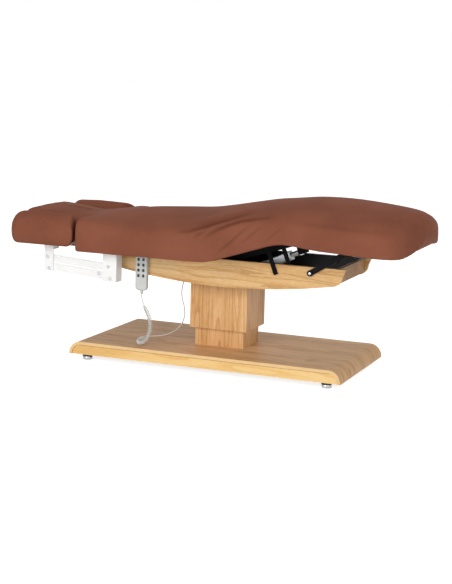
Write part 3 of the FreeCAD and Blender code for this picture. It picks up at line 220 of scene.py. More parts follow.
@dataclass(frozen=True)
class OakVeneer(Finish):
    """Sliced oak under a clear satin lacquer: wandering growth bands, fine fibres and a drift of tone."""

    name: str
    grain: Grain
    pale: str = "#EECA94"
    middle: str = "#DAAB6E"
    late: str = "#AE7638"
    figure_mm: float = 46.0
    rings: float = 8.0
    fibre_mm: float = 2.0
    inner_edge_mm: float = 0.0
    inner_end_mm: float = 614.0
    inner_black: str = "#161617"
    lipping_mm: float = 0.0
    lipping: str = "#F6D298"
    # Painted shadow of an overhanging edge: a dark band from this height up, in the colour on the next line.
    shadow_line_mm: float = 0.0
    dark_line: str = "#7A5127"
    gloss: float = 0.3

    def looks(self, tree: Tree, place: Socket) -> dict:
        """Growth rings as contour lines of a slow drawn-out pattern, over a drift of tone and fine fibres."""
        run = add_node(tree, "Mapping", {"Scale": self.grain.value, "Vector": place})
        drift = add_node(tree, "TexNoise", {"Scale": 1 / (2.2 * self.figure_mm * MM), "Detail": 5.0,
                                            "Roughness": 0.62, "Vector": run})
        figure = add_node(tree, "TexNoise", {"Scale": 1 / (self.figure_mm * MM), "Detail": 1.2,
                                             "Distortion": 0.35, "Vector": run})
        count = add_node(tree, "Math", {0: figure, 1: self.rings}, operation="MULTIPLY")
        ring = add_node(tree, "Math", {0: count}, operation="FRACT")
        late = add_node(tree, "MapRange", {"From Min": 0.45, "From Max": 0.95, "To Min": 0.62, "To Max": 0.22,
                                           "Value": ring}, interpolation_type="SMOOTHSTEP")
        fibre = add_node(tree, "TexNoise", {"Scale": 1 / (self.fibre_mm * MM), "Detail": 3.0,
                                            "Roughness": 0.7, "Vector": run})
        mixed = add_node(tree, "Mix", {0: 0.36, 2: drift, 3: late}, data_type="FLOAT")
        fine = add_node(tree, "Mix", {0: 0.34, 2: mixed, 3: fibre}, data_type="FLOAT")
        tone = add_node(tree, "ValToRGB", {"Fac": fine}, stops=((0.34, linear(self.late)),
                                                                (0.48, linear(self.middle)),
                                                                (0.60, linear(self.pale))))
        bump = add_node(tree, "Bump", {"Strength": 0.25, "Distance": 0.2 * MM, "Height": fine})
        return {"Base Color": self.worked(tree, place, tone.outputs["Color"]), "Normal": bump,
                "Roughness": 0.46, "Specular IOR Level": self.gloss}

    def worked(self, tree: Tree, place: Socket, colour: Socket) -> Socket:
        """Lay edge strips, black inner faces and a painted shadow line over the veneer, as far as it has
        them.

        Args:
            tree: node tree of the material.
            place: socket with a point's place in the object's frame.
            colour: socket with the veneer's colour.

        Returns:
            Socket with the colour that goes into the shader.
        """
        split = add_node(tree, "SeparateXYZ", {"Vector": place})
        across = add_node(tree, "Math", {0: split.outputs["Y"]}, operation="ABSOLUTE")
        layers = []
        if self.lipping_mm:
            # Solid edge strips glued on the long sides.
            edge = (self.lipping_mm - 0.5) * MM
            outside = add_node(tree, "Math", {0: across, 1: edge}, operation="GREATER_THAN")
            strip = add_node(tree, "Mix", {0: 0.22, 6: linear(self.lipping), 7: colour}, data_type="RGBA")
            layers.append((outside, strip.outputs[2]))
        if self.inner_edge_mm:
            # The inner faces are black up to the end board.
            face = (self.inner_edge_mm + 0.5) * MM
            inside = add_node(tree, "Math", {0: across, 1: face}, operation="LESS_THAN")
            before = add_node(tree, "Math", {0: split, 1: self.inner_end_mm * MM}, operation="LESS_THAN")
            both = add_node(tree, "Math", {0: inside, 1: before}, operation="MULTIPLY")
            layers.append((both, linear(self.inner_black)))
        if self.shadow_line_mm:
            # Painted shadow: a dark line where the strip meets the shell above it, under the shell's edge.
            shadow_band = add_node(tree, "Math", {0: split.outputs["Z"], 1: self.shadow_line_mm * MM},
                             operation="GREATER_THAN")
            layers.append((shadow_band, linear(self.dark_line)))
        for mask, top in layers:
            colour = add_node(tree, "Mix", {0: mask, 6: colour, 7: top}, data_type="RGBA").outputs[2]
        return colour


@dataclass(frozen=True)
class Plywood(Finish):
    """Raw birch plywood, rotary cut: pale, darker along its wavering glue lines."""

    name: str = "birch_plywood_rotary_cut"
    pale: str = "#C9AE86"
    dark_line: str = "#8D7350"
    ply_mm: float = 1.5

    def looks(self, tree: Tree, place: Socket) -> dict:
        """Thin layers as bands up the thickness."""
        layers = add_node(tree, "TexWave", {"Scale": 2 * math.pi / (20 * self.ply_mm * MM), "Distortion": 0.6,
                                            "Vector": place}, bands_direction="Z")
        tone = add_node(tree, "ValToRGB", {"Fac": layers.outputs["Fac"]},
                        stops=((0.1, linear(self.dark_line)), (0.6, linear(self.pale))))
        return {"Base Color": tone, "Roughness": 0.7}


@dataclass(frozen=True)
class PowderCoat(Finish):
    """Baked powder paint on steel: even colour with a slight orange peel and a soft gloss."""

    name: str
    colour: str
    shadow: str
    roughness: float = 0.42
    peel_mm: float = 2.5
    drift_mm: float = 140.0
    gloss: float = 0.5

    def looks(self, tree: Tree, place: Socket) -> dict:
        """One colour with a slow drift of tone, and the peel as bump."""
        drift = add_node(tree, "TexNoise", {"Scale": 1 / (self.drift_mm * MM), "Detail": 2.0,
                                            "Vector": place})
        tone = add_node(tree, "ValToRGB", {"Fac": drift},
                        stops=((0.3, linear(self.shadow)), (0.7, linear(self.colour))))
        peel = add_node(tree, "TexNoise", {"Scale": 1 / (self.peel_mm * MM), "Detail": 1.0, "Vector": place})
        bump = add_node(tree, "Bump", {"Strength": 0.12, "Distance": 0.1 * MM, "Height": peel})
        return {"Base Color": tone, "Normal": bump, "Roughness": self.roughness,
                "Specular IOR Level": self.gloss}


@dataclass(frozen=True)
class BareMetal(Finish):
    """Plated, drawn or anodised metal: metallic, with drawn streaks in its gloss."""

    name: str
    colour: str
    roughness: float
    streak_mm: float = 1.5
    streak: tuple[float, float, float] = (0.05, 1.0, 1.0)

    def looks(self, tree: Tree, place: Socket) -> dict:
        """Streaks along the drawing direction vary the roughness and leave the colour alone."""
        along = add_node(tree, "Mapping", {"Scale": self.streak, "Vector": place})
        drawn = add_node(tree, "TexNoise", {"Scale": 1 / (self.streak_mm * MM), "Detail": 3.0,
                                            "Vector": along})
        gloss = add_node(tree, "MapRange", {"To Min": self.roughness * 0.7, "To Max": self.roughness * 1.3,
                                            "Value": drawn})
        return {"Base Color": linear(self.colour), "Metallic": 1.0, "Roughness": gloss}


@dataclass(frozen=True)
class MouldedPlastic(Finish):
    """Moulded or extruded plastic with a fine spark-eroded grain."""

    name: str
    colour: str
    roughness: float = 0.45
    grain_mm: float = 0.9
    cloud_mm: float = 40.0

    def looks(self, tree: Tree, place: Socket) -> dict:
        """One colour with a slight cloud, and the grain as a shallow bump."""
        grain, cloud = (add_node(tree, "TexNoise", {"Scale": 1 / (wide * MM), "Detail": 2.0, "Vector": place})
                        for wide in (self.grain_mm, self.cloud_mm))
        base = linear(self.colour)
        dim = tuple(c * 0.9 for c in base[:3]) + (1.0,)
        tone = add_node(tree, "ValToRGB", {"Fac": cloud}, stops=((0.35, dim), (0.65, base)))
        bump = add_node(tree, "Bump", {"Strength": 0.2, "Distance": 0.08 * MM, "Height": grain})
        return {"Base Color": tone, "Normal": bump, "Roughness": self.roughness}


@dataclass(frozen=True)
class Webbing(Finish):
    """Woven nylon strap: a twill of raised yarns, dull and black."""

    name: str = "nylon_webbing_woven"
    colour: str = "#060607"
    lift: str = "#121214"
    yarn_mm: float = 1.8

    def looks(self, tree: Tree, place: Socket) -> dict:
        """Diagonal yarns as bands in colour and bump."""
        yarn = add_node(tree, "TexWave", {"Scale": 2 * math.pi / (10 * self.yarn_mm * MM), "Vector": place},
                        bands_direction="DIAGONAL").outputs["Fac"]
        tone = add_node(tree, "ValToRGB", {"Fac": yarn},
                        stops=((0.3, linear(self.colour)), (0.9, linear(self.lift))))
        bump = add_node(tree, "Bump", {"Strength": 0.5, "Distance": 0.3 * MM, "Height": yarn})
        return {"Base Color": tone, "Normal": bump, "Roughness": 0.8, "Specular IOR Level": 0.1}


@dataclass(frozen=True)
class StudioPaper(Finish):
    """Matt white paper that stays white to the camera and still takes a soft shadow."""

    name: str = "studio_paper_matt"
    colour: str = "#F4F4F4"
    glow: float = 0.8

    def looks(self, tree: Tree, place: Socket) -> dict:
        """White that glows for the camera and for reflections only."""
        seen = ray_mask(tree, ("Is Camera Ray", "Is Glossy Ray"))
        lift = add_node(tree, "Math", {0: seen, 1: self.glow}, operation="MULTIPLY")
        return {"Base Color": linear(self.colour), "Roughness": 0.9, "Emission Color": (1, 1, 1, 1),
                "Emission Strength": lift}


def ray_mask(tree: Tree, kinds: tuple[str, ...]) -> Node:
    """Nodes that give one for rays of the named kinds and nought for the rest.

    Args:
        tree: node tree that takes the nodes.
        kinds: output names of Blender's light path node.

    Returns:
        The last node.
    """
    path = add_node(tree, "LightPath")
    mask = path.outputs[kinds[0]]
    for kind in kinds[1:]:
        mask = add_node(tree, "Math", {0: mask, 1: path.outputs[kind]}, operation="MAXIMUM")
    return mask


LEATHER = Leatherette()
OAK_LENGTH = OakVeneer("oak_veneer_lacquered_lengthwise", Grain.LENGTH, inner_edge_mm=180.0)
OAK_BENT = OakVeneer("oak_veneer_lacquered_bent", Grain.BENT, pale="#F0C594", middle="#DDAE7A",
                     late="#B58250", lipping_mm=313.0, gloss=0.15)
OAK_UPRIGHT = OakVeneer("oak_veneer_lacquered_upright", Grain.HEIGHT, pale="#EABF89", middle="#D8A56B",
                        late="#AF763E", figure_mm=52.0)
# The skirts carry a painted shadow line under the shell's edge.
OAK_EDGE = OakVeneer("oak_lipping_lacquered", Grain.LENGTH, pale="#F9D797", middle="#F1C67F", late="#DDAA5F",
                     figure_mm=70.0, rings=5.0, shadow_line_mm=69.5)
OAK_STAINED = OakVeneer("oak_ply_stained", Grain.LENGTH, pale="#C79A69", middle="#B07F4E", late="#8C5D32",
                        gloss=0.1)
PLYWOOD = Plywood()
WHITE_STEEL = PowderCoat("steel_powder_coated_white", "#FAFAF9", "#F4F4F4")
BLACK_STEEL = PowderCoat("steel_powder_coated_black", "#0E0E0F", "#09090A", 0.6, gloss=0.1)
ZINC = BareMetal("steel_zinc_plated", "#B9BBBE", 0.32)
CHROME = BareMetal("steel_chrome_plated", "#A9ABAE", 0.16)
ALLOY = BareMetal("aluminium_extruded_anodised", "#C3C6C9", 0.38)
DRIVE_GREY = MouldedPlastic("polyamide_moulded_grey", "#A9ABAD", 0.5)
BLACK_PLASTIC = MouldedPlastic("abs_moulded_black", "#1A1A1C", 0.48)
HANDSET_GREY = MouldedPlastic("abs_moulded_light_grey", "#CFD2D0", 0.4)
KEY_DARK = MouldedPlastic("silicone_moulded_dark", "#20282A", 0.55)
CORD_WHITE = MouldedPlastic("pvc_extruded_white", "#E0DFDC", 0.42)
WEBBING = Webbing()

NODE_FINISHES: dict[Finish, tuple[str, ...]] = {
    OAK_LENGTH: ("tray_side_panels",),
    OAK_BENT: ("base_shell",),
    OAK_EDGE: ("base_skirts",),
    OAK_UPRIGHT: ("lower_sleeve", "upper_sleeve"),
    OAK_STAINED: ("tray_end_boards",),
    PLYWOOD: ("tray_floor", "seat_board"),
    BLACK_STEEL: ("back_board", "thigh_board", "calf_board", "base_frame", "foot_studs", "back_frame",
                  "thigh_frame", "calf_frame", "calf_arms", "calf_arm_studs", "back_lever",
                  "leg_drive_bracket", "lift_outer_tube"),
    WHITE_STEEL: ("near_arm_bracket", "far_arm_bracket", "near_arm_upright", "far_arm_upright",
                  "near_lower_link", "near_upper_link", "far_lower_link", "far_upper_link"),
    ZINC: ("lift_inner_tube", "lift_ram", "hinge_shafts", "leg_drive_ram", "back_drive_ram"),
    CHROME: ("foot_glides",),
    ALLOY: ("leg_drive_body",),
    DRIVE_GREY: ("lift_drive", "back_drive_body"),
    BLACK_PLASTIC: ("control_box", "cord_gland"),
    HANDSET_GREY: ("handset_front", "handset_back"),
    LEATHER: ("back_cushion", "seat_cushion", "thigh_cushion", "calf_cushion", "near_arm_pad",
              "far_arm_pad"),
    CORD_WHITE: ("cord_top", "cord_curl", "cord_lead"),
    WEBBING: ("mattress_straps",),
}


def dress_nodes(nodes: dict[str, Thing]) -> None:
    """Give every CAD node the finish of its real material; the keys are what the table leaves over.

    Args:
        nodes: CAD nodes by name.
    """
    finishes = {name: finish for finish, names in NODE_FINISHES.items() for name in names}
    for name, node in nodes.items():
        node.data.materials.clear()
        node.data.materials.append(finishes.get(name, KEY_DARK).material())


def placed(name: str, data: bpy.types.ID) -> Thing:
    """Make an object of a mesh, lamp, camera or curve and link it to the scene."""
    thing = bpy.data.objects.new(name, data)
    bpy.context.scene.collection.objects.link(thing)
    return thing


def grid_quads(rows: int, columns: int) -> Array:
    """Corner numbers of the quads of a grid of points whose rows are closed rings.

    Args:
        rows: count of rows.
        columns: count of points in a row.

    Returns:
        One row of four corner numbers per quad, in order down the grid.
    """
    row, column = np.meshgrid(np.arange(rows - 1), np.arange(columns), indexing="ij")
    after = (column + 1) % columns
    corners = [row * columns + column, row * columns + after, (row + 1) * columns + after,
               (row + 1) * columns + column]
    return np.stack([corner.ravel() for corner in corners], axis=1)


def tube_mesh(name: str, *tubes: Array) -> Thing:
    """Make one object of closed tubes; the first and last ring of each are capped by one face each.

    Args:
        name: the object's name.
        tubes: arrays of rings by points by three coordinates, in metres, all of one shape.

    Returns:
        The object, linked to the scene and shaded smooth.
    """
    rows, columns = tubes[0].shape[:2]
    one = grid_quads(rows, columns).tolist()
    one.append(list(range(columns - 1, -1, -1)))
    one.append(list(range((rows - 1) * columns, rows * columns)))
    starts = range(0, len(tubes) * rows * columns, rows * columns)
    faces = [[start + corner for corner in face] for start in starts for face in one]
    return linked(name, np.stack(tubes).reshape(-1, 3), faces)


def linked(name: str, points: Array, faces: list) -> Thing:
    """Make a smooth mesh object from points and faces, with its faces turned outwards.

    Args:
        name: the object's name.
        points: one row of three coordinates per point, in metres.
        faces: corner numbers of each face.

    Returns:
        The object, linked to the scene.
    """
    mesh = bpy.data.meshes.new(name)
    mesh.from_pydata(points.tolist(), [], faces)
    form = bmesh.new()
    form.from_mesh(mesh)
    bmesh.ops.remove_doubles(form, verts=form.verts, dist=1e-6)
    bmesh.ops.recalc_face_normals(form, faces=form.faces)
    form.to_mesh(mesh)
    form.free()
    mesh.polygons.foreach_set("use_smooth", np.ones(len(mesh.polygons), bool))
    return placed(name, mesh)


def read_rows(items: bpy.types.bpy_prop_collection, name: str) -> Array:
    """A three-number attribute of every item, as one row per item."""
    flat = np.empty(len(items) * 3)
    items.foreach_get(name, flat)
    return flat.reshape(-1, 3)


def move_corners(thing: Thing, points: Array) -> None:
    """Put new coordinates into an object's points."""
    thing.data.vertices.foreach_set("co", points.ravel())
    thing.data.update()


def finished(thing: Thing, finish: Finish) -> Thing:
    """Give a piece its finish as its one material."""
    thing.data.materials.clear()
    thing.data.materials.append(finish.material())
    return thing


def baked(thing: Thing) -> None:
    """Replace an object's mesh by its evaluated one and drop its modifiers."""
    graph = bpy.context.evaluated_depsgraph_get()
    made = bpy.data.meshes.new_from_object(thing.evaluated_get(graph))
    thing.modifiers.clear()
    thing.data = made


@dataclass
class PhotoCamera:
    """Camera fitted to the straight edges of the photograph, without shift."""

    place: tuple[float, float, float] = (2.3946, -5.8705, 1.4303)
    turn: float = math.radians(21.96)
    tilt: float = math.radians(9.95)
    roll: float = math.radians(1.54)
    focal_px: float = 1413.07
    film: float = 36.0

    def axes(self) -> tuple[Vector, Vector, Vector]:
        """Right, up and forward directions of the view."""
        level = math.cos(self.tilt)
        ahead = Vector((-math.sin(self.turn) * level, math.cos(self.turn) * level, -math.sin(self.tilt)))
        right = Vector((math.cos(self.turn), math.sin(self.turn), 0))
        up = right.cross(ahead)
        lean = math.cos(self.roll), math.sin(self.roll)
        return right * lean[0] + up * lean[1], up * lean[0] - right * lean[1], ahead

    def build(self) -> None:
        """Add the camera to the scene and make it the one in use."""
        data = bpy.data.cameras.new("photo_camera")
        data.sensor_width = self.film
        data.lens = self.focal_px * self.film / PHOTO_TALL
        camera = placed("photo_camera", data)
        right, up, ahead = self.axes()
        turned = Matrix((right, up, -ahead)).transposed().to_4x4()
        camera.matrix_world = Matrix.Translation(self.place) @ turned
        bpy.context.scene.camera = camera

    def project(self, points: Array) -> Array:
        """Pixel places of points in the photograph's frame.

        Args:
            points: one row of three coordinates per point, in metres.

        Returns:
            One row of two pixel coordinates per point.
        """
        right, up, ahead = (np.array(axis) for axis in self.axes())
        seen = points - np.array(self.place)
        deep = seen @ ahead
        return np.stack([PHOTO_WIDE / 2 + self.focal_px * (seen @ right) / deep,
                         PHOTO_TALL / 2 - self.focal_px * (seen @ up) / deep], axis=1)


@dataclass
class Studio:
    """White floor and soft lamps: most light comes from the front, as in the photograph.

    Each lamp has a name, a place, a point it aims at, a width and a power.
    """

    floor_half: float = 30.0
    lamps: tuple = (
        ("front_softbox", (-0.7, -5.2, 2.2), (0.0, 0.0, 0.45), 4.2, 152.0),
        ("right_softbox", (4.6, -3.4, 2.4), (0.3, 0.0, 0.5), 3.2, 82.0),
        ("top_softbox", (0.2, 0.6, 4.2), (0.0, 0.0, 0.5), 3.4, 24.0),
    )
    ambient: float = 0.3

    def build(self) -> None:
        """Make the floor, the lamps and the world."""
        corners = np.array([(-1, -1, 0), (1, -1, 0), (1, 1, 0), (-1, 1, 0)]) * self.floor_half
        floor = linked("studio_floor", corners, [[0, 1, 2, 3]])
        floor.data.materials.append(StudioPaper().material())
        for name, place, aim, wide, power in self.lamps:
            data = bpy.data.lights.new(name, "AREA")
            data.size = wide
            data.energy = power
            lamp = placed(name, data)
            lamp.location = place
            lamp.rotation_mode = "QUATERNION"
            lamp.rotation_quaternion = (Vector(aim) - Vector(place)).to_track_quat("-Z", "Y")
        self.sky()
        bpy.context.scene.view_settings.view_transform = "Standard"

    def sky(self) -> None:
        """White behind the bed for the camera and for reflections, a weaker even light for the rest."""
        world = bpy.data.worlds.new("studio_world")
        bpy.context.scene.world = world
        world.use_nodes = True
        tree = world.node_tree
        seen = ray_mask(tree, ("Is Camera Ray", "Is Glossy Ray", "Is Transmission Ray"))
        power = add_node(tree, "MapRange", {"To Min": self.ambient, "To Max": 1.0, "Value": seen})
        feed(tree, tree.nodes["Background"], {"Color": (1, 1, 1, 1), "Strength": power})


FLOOR_POINTS = 24
HEEL_POINTS = 8
SIDE_POINTS = 12
BROW_POINTS = 12
ROOF_POINTS = 28
HOLLOW_POWER = 8


def section_ring(half: Array, low: Array, high: Array, crown: Array, top_round: Array, low_round: Array,
                 bulge: float, hang: float) -> Array:
    """Cross-sections of a cushion: hollow underside, round edges, bowed sides and crowned top.

    The upper face is a parabola across the width; the side bows out by a half sine; the lower edge is a
    quarter circle, and the upper edge an arc that ends at the slope with which the upper face begins.

    Args:
        half: half width at each station.
        low: level of the underside at each station.
        high: level at which a flat top would begin at each station.
        crown: rise of the top's middle over that level.
        top_round: radius of the upper edge.
        low_round: radius of the lower edge.
        bulge: how far the side bows out at its middle.
        hang: how far the rim hangs below the underside's middle.

    Returns:
        Array of stations by points by (across, level).
    """
    def part(count: int) -> Array:
        return (np.arange(count) / count)[None, :]

    half, low, high, crown, top_round, low_round = (value[:, None] for value in
                                                    (half, low, high, crown, top_round, low_round))
    share = part(FLOOR_POINTS)
    floor = (half - low_round) * share, low + hang * (1 - share ** HOLLOW_POWER)
    turn = part(HEEL_POINTS) * math.pi / 2
    heel = half - low_round + low_round * np.sin(turn), low + low_round - low_round * np.cos(turn)
    share = part(SIDE_POINTS)
    side = (half + bulge * np.sin(math.pi * share),
            low + low_round + (high - top_round - low - low_round) * share)
    slope = np.arctan2(2 * crown, half - top_round)
    turn = part(BROW_POINTS) * (math.pi / 2 - slope)
    brow = half - top_round + top_round * np.cos(turn), high - top_round + top_round * np.sin(turn)
    share = 1 - part(ROOF_POINTS)
    fall = crown + top_round * (1 - np.cos(slope))
    roof = (half - top_round + top_round * np.sin(slope)) * share, high + crown - fall * share ** 2
    across = np.concatenate([floor[0], heel[0], side[0], brow[0], roof[0], 0 * half], axis=1)
    level = np.concatenate([floor[1], heel[1], side[1], brow[1], roof[1], high + crown], axis=1)
    mirrored = np.stack([-across[:, -2:0:-1], level[:, -2:0:-1]], axis=2)
    return np.concatenate([np.stack([across, level], axis=2), mirrored], axis=1)


WINDOW_REACH = 2.5
WINDOW_SAMPLES = 41


def eased_curve(table: tuple, places: Array, blur: float) -> Array:
    """A smooth curve near a table of points: straight runs averaged with a bell-shaped window.

    Args:
        table: (place, level) pairs in order.
        places: places along the bed at which the curve is wanted.
        blur: width of the window.

    Returns:
        Level at each place.
    """
    known = np.array(table)
    shift = np.linspace(-WINDOW_REACH, WINDOW_REACH, WINDOW_SAMPLES)
    weight = np.exp(-shift ** 2 / 2)
    spread = np.interp(places[:, None] + shift[None, :] * blur, known[:, 0], known[:, 1])
    return (spread * weight).sum(axis=1) / weight.sum()


def quarter_round(gap: Array, radius: float) -> Array:
    """How far a corner of a radius draws in, at a gap from its end."""
    share = np.clip(1 - gap / radius, 0, 1)
    return radius * (1 - np.sqrt(1 - share ** 2))


def end_inset(places: Array, start: float, end: float, radii: tuple[float, float]) -> Array:
    """How far a section draws in near both ends of a piece, with a radius of its own at each end."""
    return quarter_round(places - start, radii[0]) + quarter_round(end - places, radii[1])


END_STATIONS = 12


def end_stations(start: float, end: float, radii: tuple[float, float], step: float) -> Array:
    """Places of a piece's sections: even along its length and closer together where its ends turn in."""
    turn = np.sin(np.linspace(0, math.pi / 2, END_STATIONS))
    middle = np.arange(start + radii[0], end - radii[1], step)
    return np.concatenate([start + radii[0] * (1 - turn[::-1]), middle[1:], end - radii[1] * (1 - turn)])


@dataclass
class SoftShaper:
    """Turns a sewn form into a filled cushion: an even mesh, then cloth under pressure."""

    voxel: float
    cap: float
    pressure: float = 4.0
    frames: int = 20
    quality: int = 3
    smoothing: int = 10
    held_below: float = -0.8

    def fill(self, thing: Thing) -> Thing:
        """Remesh a closed form evenly and let it swell as cloth.

        Args:
            thing: closed form, a little smaller than the finished cushion.

        Returns:
            The same object with the filled mesh.
        """
        even = thing.modifiers.new("even", "REMESH")
        even.mode = "VOXEL"
        even.voxel_size = self.voxel
        ease = thing.modifiers.new("ease", "SMOOTH")
        ease.iterations = self.smoothing
        baked(thing)
        self.swell(thing)
        thing.data.polygons.foreach_set("use_smooth", np.ones(len(thing.data.polygons), bool))
        return thing

    def swell(self, thing: Thing) -> None:
        """Press the cover out from inside, held where it lies on its board, and cap how far it moves."""
        before = read_rows(thing.data.vertices, "co")
        held = np.flatnonzero(read_rows(thing.data.vertex_normals, "vector")[:, 2] < self.held_below)
        seat = thing.vertex_groups.new(name="seat")
        seat.add(held.tolist(), 1.0, "REPLACE")
        cloth = thing.modifiers.new("filling", "CLOTH")
        cloth.settings.use_pressure = True
        cloth.settings.uniform_pressure_force = self.pressure
        cloth.settings.effector_weights.gravity = 0
        cloth.settings.quality = self.quality
        cloth.settings.vertex_group_mass = "seat"
        cloth.point_cache.frame_start = 1
        cloth.point_cache.frame_end = self.frames
        for frame in range(1, self.frames + 1):
            bpy.context.scene.frame_set(frame)
        baked(thing)
        bpy.context.scene.frame_set(1)
        step = read_rows(thing.data.vertices, "co") - before
        reach = np.linalg.norm(step, axis=1, keepdims=True)
        move_corners(thing, before + step * np.minimum(1, self.cap / np.maximum(reach, 1e-9)))
        thing.vertex_groups.clear()


@dataclass(frozen=True)
class Crease:
    """A fold seen in the photograph: its pixel path, depth and width, and the ridge beside it."""

    path: tuple[tuple[float, float], ...]
    depth: float
    width_px: float
    ridge: float


def path_distance(spots: Array, path: Array) -> tuple[Array, Array, Array]:
    """Distance of points from a run of straight pieces, the side they lie on and how far along they are.

    Args:
        spots: one row of coordinates per point, flat.
        path: one row of coordinates per corner of the run.

    Returns:
        Distance, signed side and share of the run's length, each per point.
    """
    start, end = path[:-1], path[1:]
    run = end - start
    length = np.linalg.norm(run, axis=1)
    away = spots[:, None, :] - start[None]
    share = np.clip((away * run[None]).sum(axis=2) / length ** 2, 0, 1)
    gap = away - share[..., None] * run[None]
    apart = np.linalg.norm(gap, axis=2)
    near = apart.argmin(axis=1)
    rows = np.arange(len(spots))
    side = np.sign(run[near, 0] * gap[rows, near, 1] - run[near, 1] * gap[rows, near, 0])
    passed = np.concatenate([[0], np.cumsum(length)[:-1]])
    along = (passed[near] + share[rows, near] * length[near]) / length.sum()
    return apart[rows, near], side, along


def bell(gap: Array, width: float) -> Array:
    """Bell curve of a distance: one at nought, a third or so at one width."""
    return np.exp(-(gap / width) ** 2)


@dataclass
class Mattress:
    """Leatherette mattress with its head rest, cut into three covers.

    Lengths are in millimetres, those of the folds' paths in the photograph's pixels, and those of the sewn
    line and its tuft in metres, apart from depths. Tables hold (place along the bed, level or size) pairs.
    """

    underside: tuple = ((-1000, 501), (66, 501), (129, 522), (279, 571), (346, 593), (392, 607), (410, 608.5),
                        (460, 603), (514, 597), (551, 592), (606, 589.5), (697, 584.5), (821, 577),
                        (1000, 565))
    ridge: tuple = ((-1000, 668), (-900, 667), (-850, 662), (-777, 660), (-736, 656), (-669, 649),
                    (-640, 647), (-605, 648), (-569, 651), (-535, 656), (-467, 665), (-418, 672),
                    (-350, 680), (-277, 685), (-188, 690), (-105, 694), (-46, 699), (47, 715),
                    (134, 732), (252, 755), (364, 767), (430, 776), (497, 779), (560, 779), (627, 776),
                    (696, 770), (779, 761), (839, 754), (882, 747), (1000, 728))
    crown: tuple = ((-1000, 6), (-900, 7), (-850, 10), (-777, 14), (-736, 16), (-669, 19), (-640, 15),
                    (-605, 7), (-569, 3), (-535, 9), (-467, 26), (-418, 39), (-350, 48), (-277, 52),
                    (-188, 49), (-105, 47), (-46, 48), (47, 42), (134, 32), (252, 39), (364, 42), (430, 50),
                    (497, 55), (627, 54), (839, 53), (882, 50), (1000, 40))
    rounding: tuple = ((-1000, 28), (-660, 30), (-600, 42), (-467, 52), (-277, 52), (-105, 44), (-46, 42),
                       (134, 52), (300, 62), (500, 64), (700, 54), (900, 42), (1000, 40))
    underside_blur: float = 30.0
    ridge_blur: float = 22.0
    crown_blur: float = 18.0
    rounding_blur: float = 30.0
    step: float = 9.0
    half_width: float = 364.0
    foot_end: float = 969.0
    foot_start: float = 690.0
    foot_power: float = 3.2
    shoulder_out: float = -561.0
    shoulder_in: float = -607.0
    shoulder_least: float = 0.12
    shoulder_power: float = 0.6
    neck_half: float = 204.5
    neck_overlap: float = 120.0
    head_end: float = -940.0
    head_corner: float = 76.0
    head_ends: tuple[float, float] = (44.0, 1.0)
    low_ends: tuple[float, float] = (20.0, 84.0)
    high_ends: tuple[float, float] = (36.0, 42.0)
    low_round: float = 17.0
    least_room: float = 8.0
    least_flat: float = 2.0
    top_share: float = 0.62
    heel_share: float = 0.3
    bulge: float = 2.0
    hang: float = 9.0
    swell: float = 3.0
    split_seat: float = -25.0
    split_thigh: float = 236.0
    thigh_level: float = 0.57
    thigh_angle: float = math.radians(18.0)
    taper_power: float = 0.7
    ridge_away: float = 1.6
    deepest: float = 9.0
    fold_shade: float = 0.7
    upper_facing: float = 0.3
    seam: tuple = ((-0.86, 0.0), (-0.672, 0.0))
    seam_width: float = 0.009
    seam_depth: float = 7.0
    seam_fade: float = 1.6
    seam_shade: float = 0.5
    tuft_width: float = 0.012
    tuft_depth: float = 5.0
    tuft_shade: float = 0.7
    creases: tuple[Crease, ...] = (
        Crease(((174, 231.8), (187, 230.6), (201, 226.8), (214, 222.4), (232, 218.2), (245, 214.7),
                (258, 212.4)), 9.0, 2.4, 4.0),
        Crease(((192, 239.0), (198, 234.4), (206, 230.4)), 4.2, 1.4, 1.6),
        Crease(((202, 239.5), (209, 234.6), (218, 229.0), (229, 224.2), (241, 220.2), (256, 218.2),
                (274, 216.8)), 8.5, 2.0, 3.6),
        Crease(((213, 257.0), (222, 249.4), (231, 241.6), (240, 233.2), (251, 224.6)), 4.6, 1.3, 1.8),
        Crease(((240, 244.0), (248, 237.6), (256, 231.2), (264, 224.6)), 3.6, 1.2, 1.2),
        Crease(((262, 245.0), (270, 237.2), (277, 231.4), (286, 225.4)), 2.6, 1.2, 0.8),
        Crease(((288, 222.5), (312, 224.5), (340, 227.5), (366, 231.5), (390, 235.2)), 3.0, 3.4, 0.0),
    )

    def sewn(self, name: str, places: Array, half: Array, lift: Array, inset: Array) -> Thing:
        """Carry the cushion's section along the bed.

        Args:
            name: the form's name.
            places: places of the sections.
            half: half width at each place.
            lift: how far the underside rises at each place.
            inset: how far the top and the sides draw in at each place.

        Returns:
            The closed form.
        """
        draw = inset + self.swell
        low = eased_curve(self.underside, places, self.underside_blur) + lift
        crown = eased_curve(self.crown, places, self.crown_blur)
        high = eased_curve(self.ridge, places, self.ridge_blur) - crown - draw
        room = np.maximum(high - low, self.least_room)
        top = np.minimum(eased_curve(self.rounding, places, self.rounding_blur), self.top_share * room)
        heel = np.minimum(self.low_round, self.heel_share * room)
        ring = section_ring(np.maximum(half - draw, top + self.least_flat), low, high, crown, top, heel,
                            self.bulge, self.hang)
        along = np.broadcast_to(places[:, None], ring.shape[:2])
        return tube_mesh(name, np.stack([along, ring[..., 0], ring[..., 1]], axis=2) * MM)

    def torso(self) -> Thing:
        """Wide part from the sloping shoulders to the round foot end."""
        places = end_stations(self.shoulder_in, self.foot_end, self.low_ends, self.step)
        turn = np.clip((places - self.foot_start) / (self.foot_end - self.foot_start), 0, 1)
        half = self.half_width * (1 - turn ** self.foot_power) ** (1 / self.foot_power)
        slope = (places - self.shoulder_in) / (self.shoulder_out - self.shoulder_in)
        grown = np.clip(slope, self.shoulder_least, 1) ** self.shoulder_power
        half = np.minimum(half, self.neck_half + (self.half_width - self.neck_half) * grown)
        return self.sewn("mattress_torso", places, half,
                         end_inset(places, self.shoulder_in, self.foot_end, self.low_ends),
                         end_inset(places, self.shoulder_in, self.foot_end, self.high_ends))

